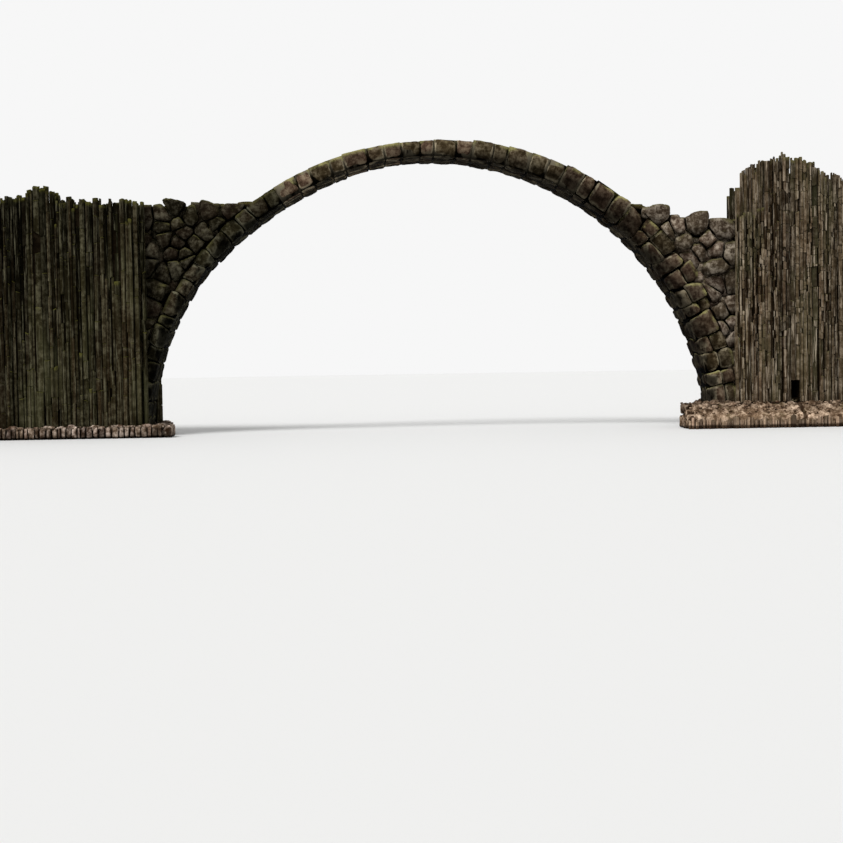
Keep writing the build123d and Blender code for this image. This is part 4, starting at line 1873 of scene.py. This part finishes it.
    def loose_stones(self) -> None:
        """Scatter rubble and gravel, half sunk, over the top, with the rubble crowded to the wall."""
        shaper = StoneShaper(self.random, detail=2, sharpness=7.0, lumps=0.003, chips=4,
                             chip_depth=(0.72, 0.95))
        length, width = self.high.x - self.low.x, self.high.y - self.low.y
        kinds = [self.rubble] * int(self.rubble_each_metre * length)
        kinds += [self.gravel] * int(self.gravel_each_metre * length)
        for kind in kinds:
            size = self.random.uniform(*kind)
            x = self.random.uniform(self.low.x + size, self.high.x - size)
            share = self.random.uniform()
            y_ends = self.low.y + size, self.high.y - size
            if kind is self.rubble:
                out = width - size - share**self.rubble_crowding * self.rubble_reach
                y = min(max(self.outer_y - self.face.value * out, y_ends[0]), y_ends[1])
            else:
                y = self.random.uniform(*y_ends)
            if self.in_gully(x, size):
                continue
            flat = self.random.uniform(*self.flatness)
            seat = Vector((x, y, self.top_at(x, y) + size * self.random.uniform(*self.sunk)))
            facings = (ALONG, -ALONG, ACROSS, -ACROSS, UP, -UP)
            reaches = (*self.loose_sides, flat, flat)
            cuts = [Cut(facing, size * reach, joint=0.0) for facing, reach in zip(facings, reaches)]
            tint = self.lightness(y) + self.random.uniform(*self.loose_tint)
            # Painted shade darkens the loose stones towards their undersides
            shaper.add(seat, (size, size, size * flat), cuts, tint=tint, painted_shade=-UP * self.loose_painted_shade)
        finished_piece(f"{self.node}_rubble", shaper.mesh, (self.finish,))

    def kerb(self) -> None:
        """Build the kerb of column stubs."""
        place = f"{self.face.label}_right"
        ColumnRow(
            f"kerb_stubs_{place}", f"kerb_{place}", ACROSS * self.face.value, KERB_STONE,
            self.seed + self.kerb_seeds, slot="kerb_basalt", shares=(0.1, 0.5, 0.4), fullness=0.94,
            ledge_chance=0.0, chance_back=0.0, standing=(-0.04, 0.0), broken_top=0.1,
        ).build()

    def build(self) -> None:
        """Build and dress the base, with its kerb where it has one."""
        self.body()
        self.edge_stones()
        self.loose_stones()
        if self.kerbed:
            self.kerb()


def dress_cores() -> None:
    """Give the masonry cores behind the cladding their dark rubble, whose darkness is also painted shade in
    the gaps between the columns.
    """
    for side in Side:
        for node in (f"abutment_{side.label}", f"spandrel_fill_{side.label}"):
            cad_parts[node].data.materials[0] = RUBBLE_SHADE_STONE.material()


# The studio


@dataclass
class Studio:
    """Pale floor, pale background, soft light, and the camera at the photograph's angle."""

    camera_place: tuple[float, float, float] = (-2.04, -49.0, 2.28)
    camera_yaw: float = 1.97
    camera_pitch: float = -2.28
    camera_roll: float = -0.93
    camera_lens: float = 58.46
    camera_sensor: float = 36.0
    floor_radius: float = 400.0
    floor_sides: int = 96
    floor_roughness: float = 0.9
    pale: Colour = (0.82, 0.82, 0.81, 1.0)
    white: Colour = (1.0, 1.0, 1.0, 1.0)
    sky_strength: float = 0.5
    seen_strength: float = 0.93
    key_strength: float = 2.2
    key_softness: float = 25.0
    key_turn: tuple[float, float] = (38.0, -30.0)

    def camera(self) -> None:
        """Place the camera."""
        data = bpy.data.cameras.new("camera")
        data.lens = self.camera_lens
        data.sensor_width = self.camera_sensor
        data.clip_end = 2 * self.floor_radius
        camera = bpy.data.objects.new("camera", data)
        bpy.context.scene.collection.objects.link(camera)
        turn = (
            Matrix.Rotation(-radians(self.camera_yaw), 4, "Z")
            @ Matrix.Rotation(radians(90 + self.camera_pitch), 4, "X")
            @ Matrix.Rotation(radians(self.camera_roll), 4, "Z")
        )
        camera.matrix_world = Matrix.Translation(self.camera_place) @ turn
        bpy.context.scene.camera = camera

    def floor(self) -> None:
        """Lay the floor."""
        mesh = bmesh.new()
        bmesh.ops.create_circle(mesh, cap_ends=True, segments=self.floor_sides, radius=self.floor_radius)
        data = bpy.data.meshes.new("floor")
        mesh.to_mesh(data)
        mesh.free()
        material = bpy.data.materials.new("floor")
        material.use_nodes = True
        shader = material.node_tree.nodes["Principled BSDF"]
        shader.inputs["Base Color"].default_value = self.pale
        shader.inputs["Roughness"].default_value = self.floor_roughness
        data.materials.append(material)
        floor = bpy.data.objects.new("floor", data)
        bpy.context.scene.collection.objects.link(floor)

    def light(self) -> None:
        """Set the sky and the soft key lamp."""
        world = bpy.data.worlds.new("studio")
        bpy.context.scene.world = world
        world.use_nodes = True
        graph = ShaderGraph(world.node_tree)
        background = world.node_tree.nodes["Background"]
        background.inputs["Color"].default_value = self.white
        rays = graph.add("ShaderNodeLightPath").outputs
        seen = graph.math("MAXIMUM", rays["Is Camera Ray"], rays["Is Glossy Ray"])
        seen = graph.math("MAXIMUM", seen, rays["Is Transmission Ray"])
        extra = graph.times(seen, self.seen_strength - self.sky_strength)
        graph.link(background, {"Strength": graph.plus(extra, self.sky_strength)})
        lamp = bpy.data.lights.new("key", "SUN")
        lamp.energy = self.key_strength
        lamp.angle = radians(self.key_softness)
        key = bpy.data.objects.new("key", lamp)
        key.rotation_euler = (radians(self.key_turn[0]), 0.0, radians(self.key_turn[1]))
        bpy.context.scene.collection.objects.link(key)
        bpy.context.scene.view_settings.view_transform = "Standard"

    def build(self) -> None:
        """Build the studio."""
        self.camera()
        self.floor()
        self.light()


def main() -> None:
    """Build the bridge in order, then the studio."""
    logging.basicConfig(level=logging.INFO, format="%(name)s %(message)s")
    ring = ArchRing()
    ring.build()
    for side in Side:
        Spandrel(side, ring).build()
        Path(side, ring).build()
        Cladding(side).build()
        for face in Face:
            Base(side, face).build()
    dress_cores()
    Studio().build()


if __name__ == "__main__":
    main()
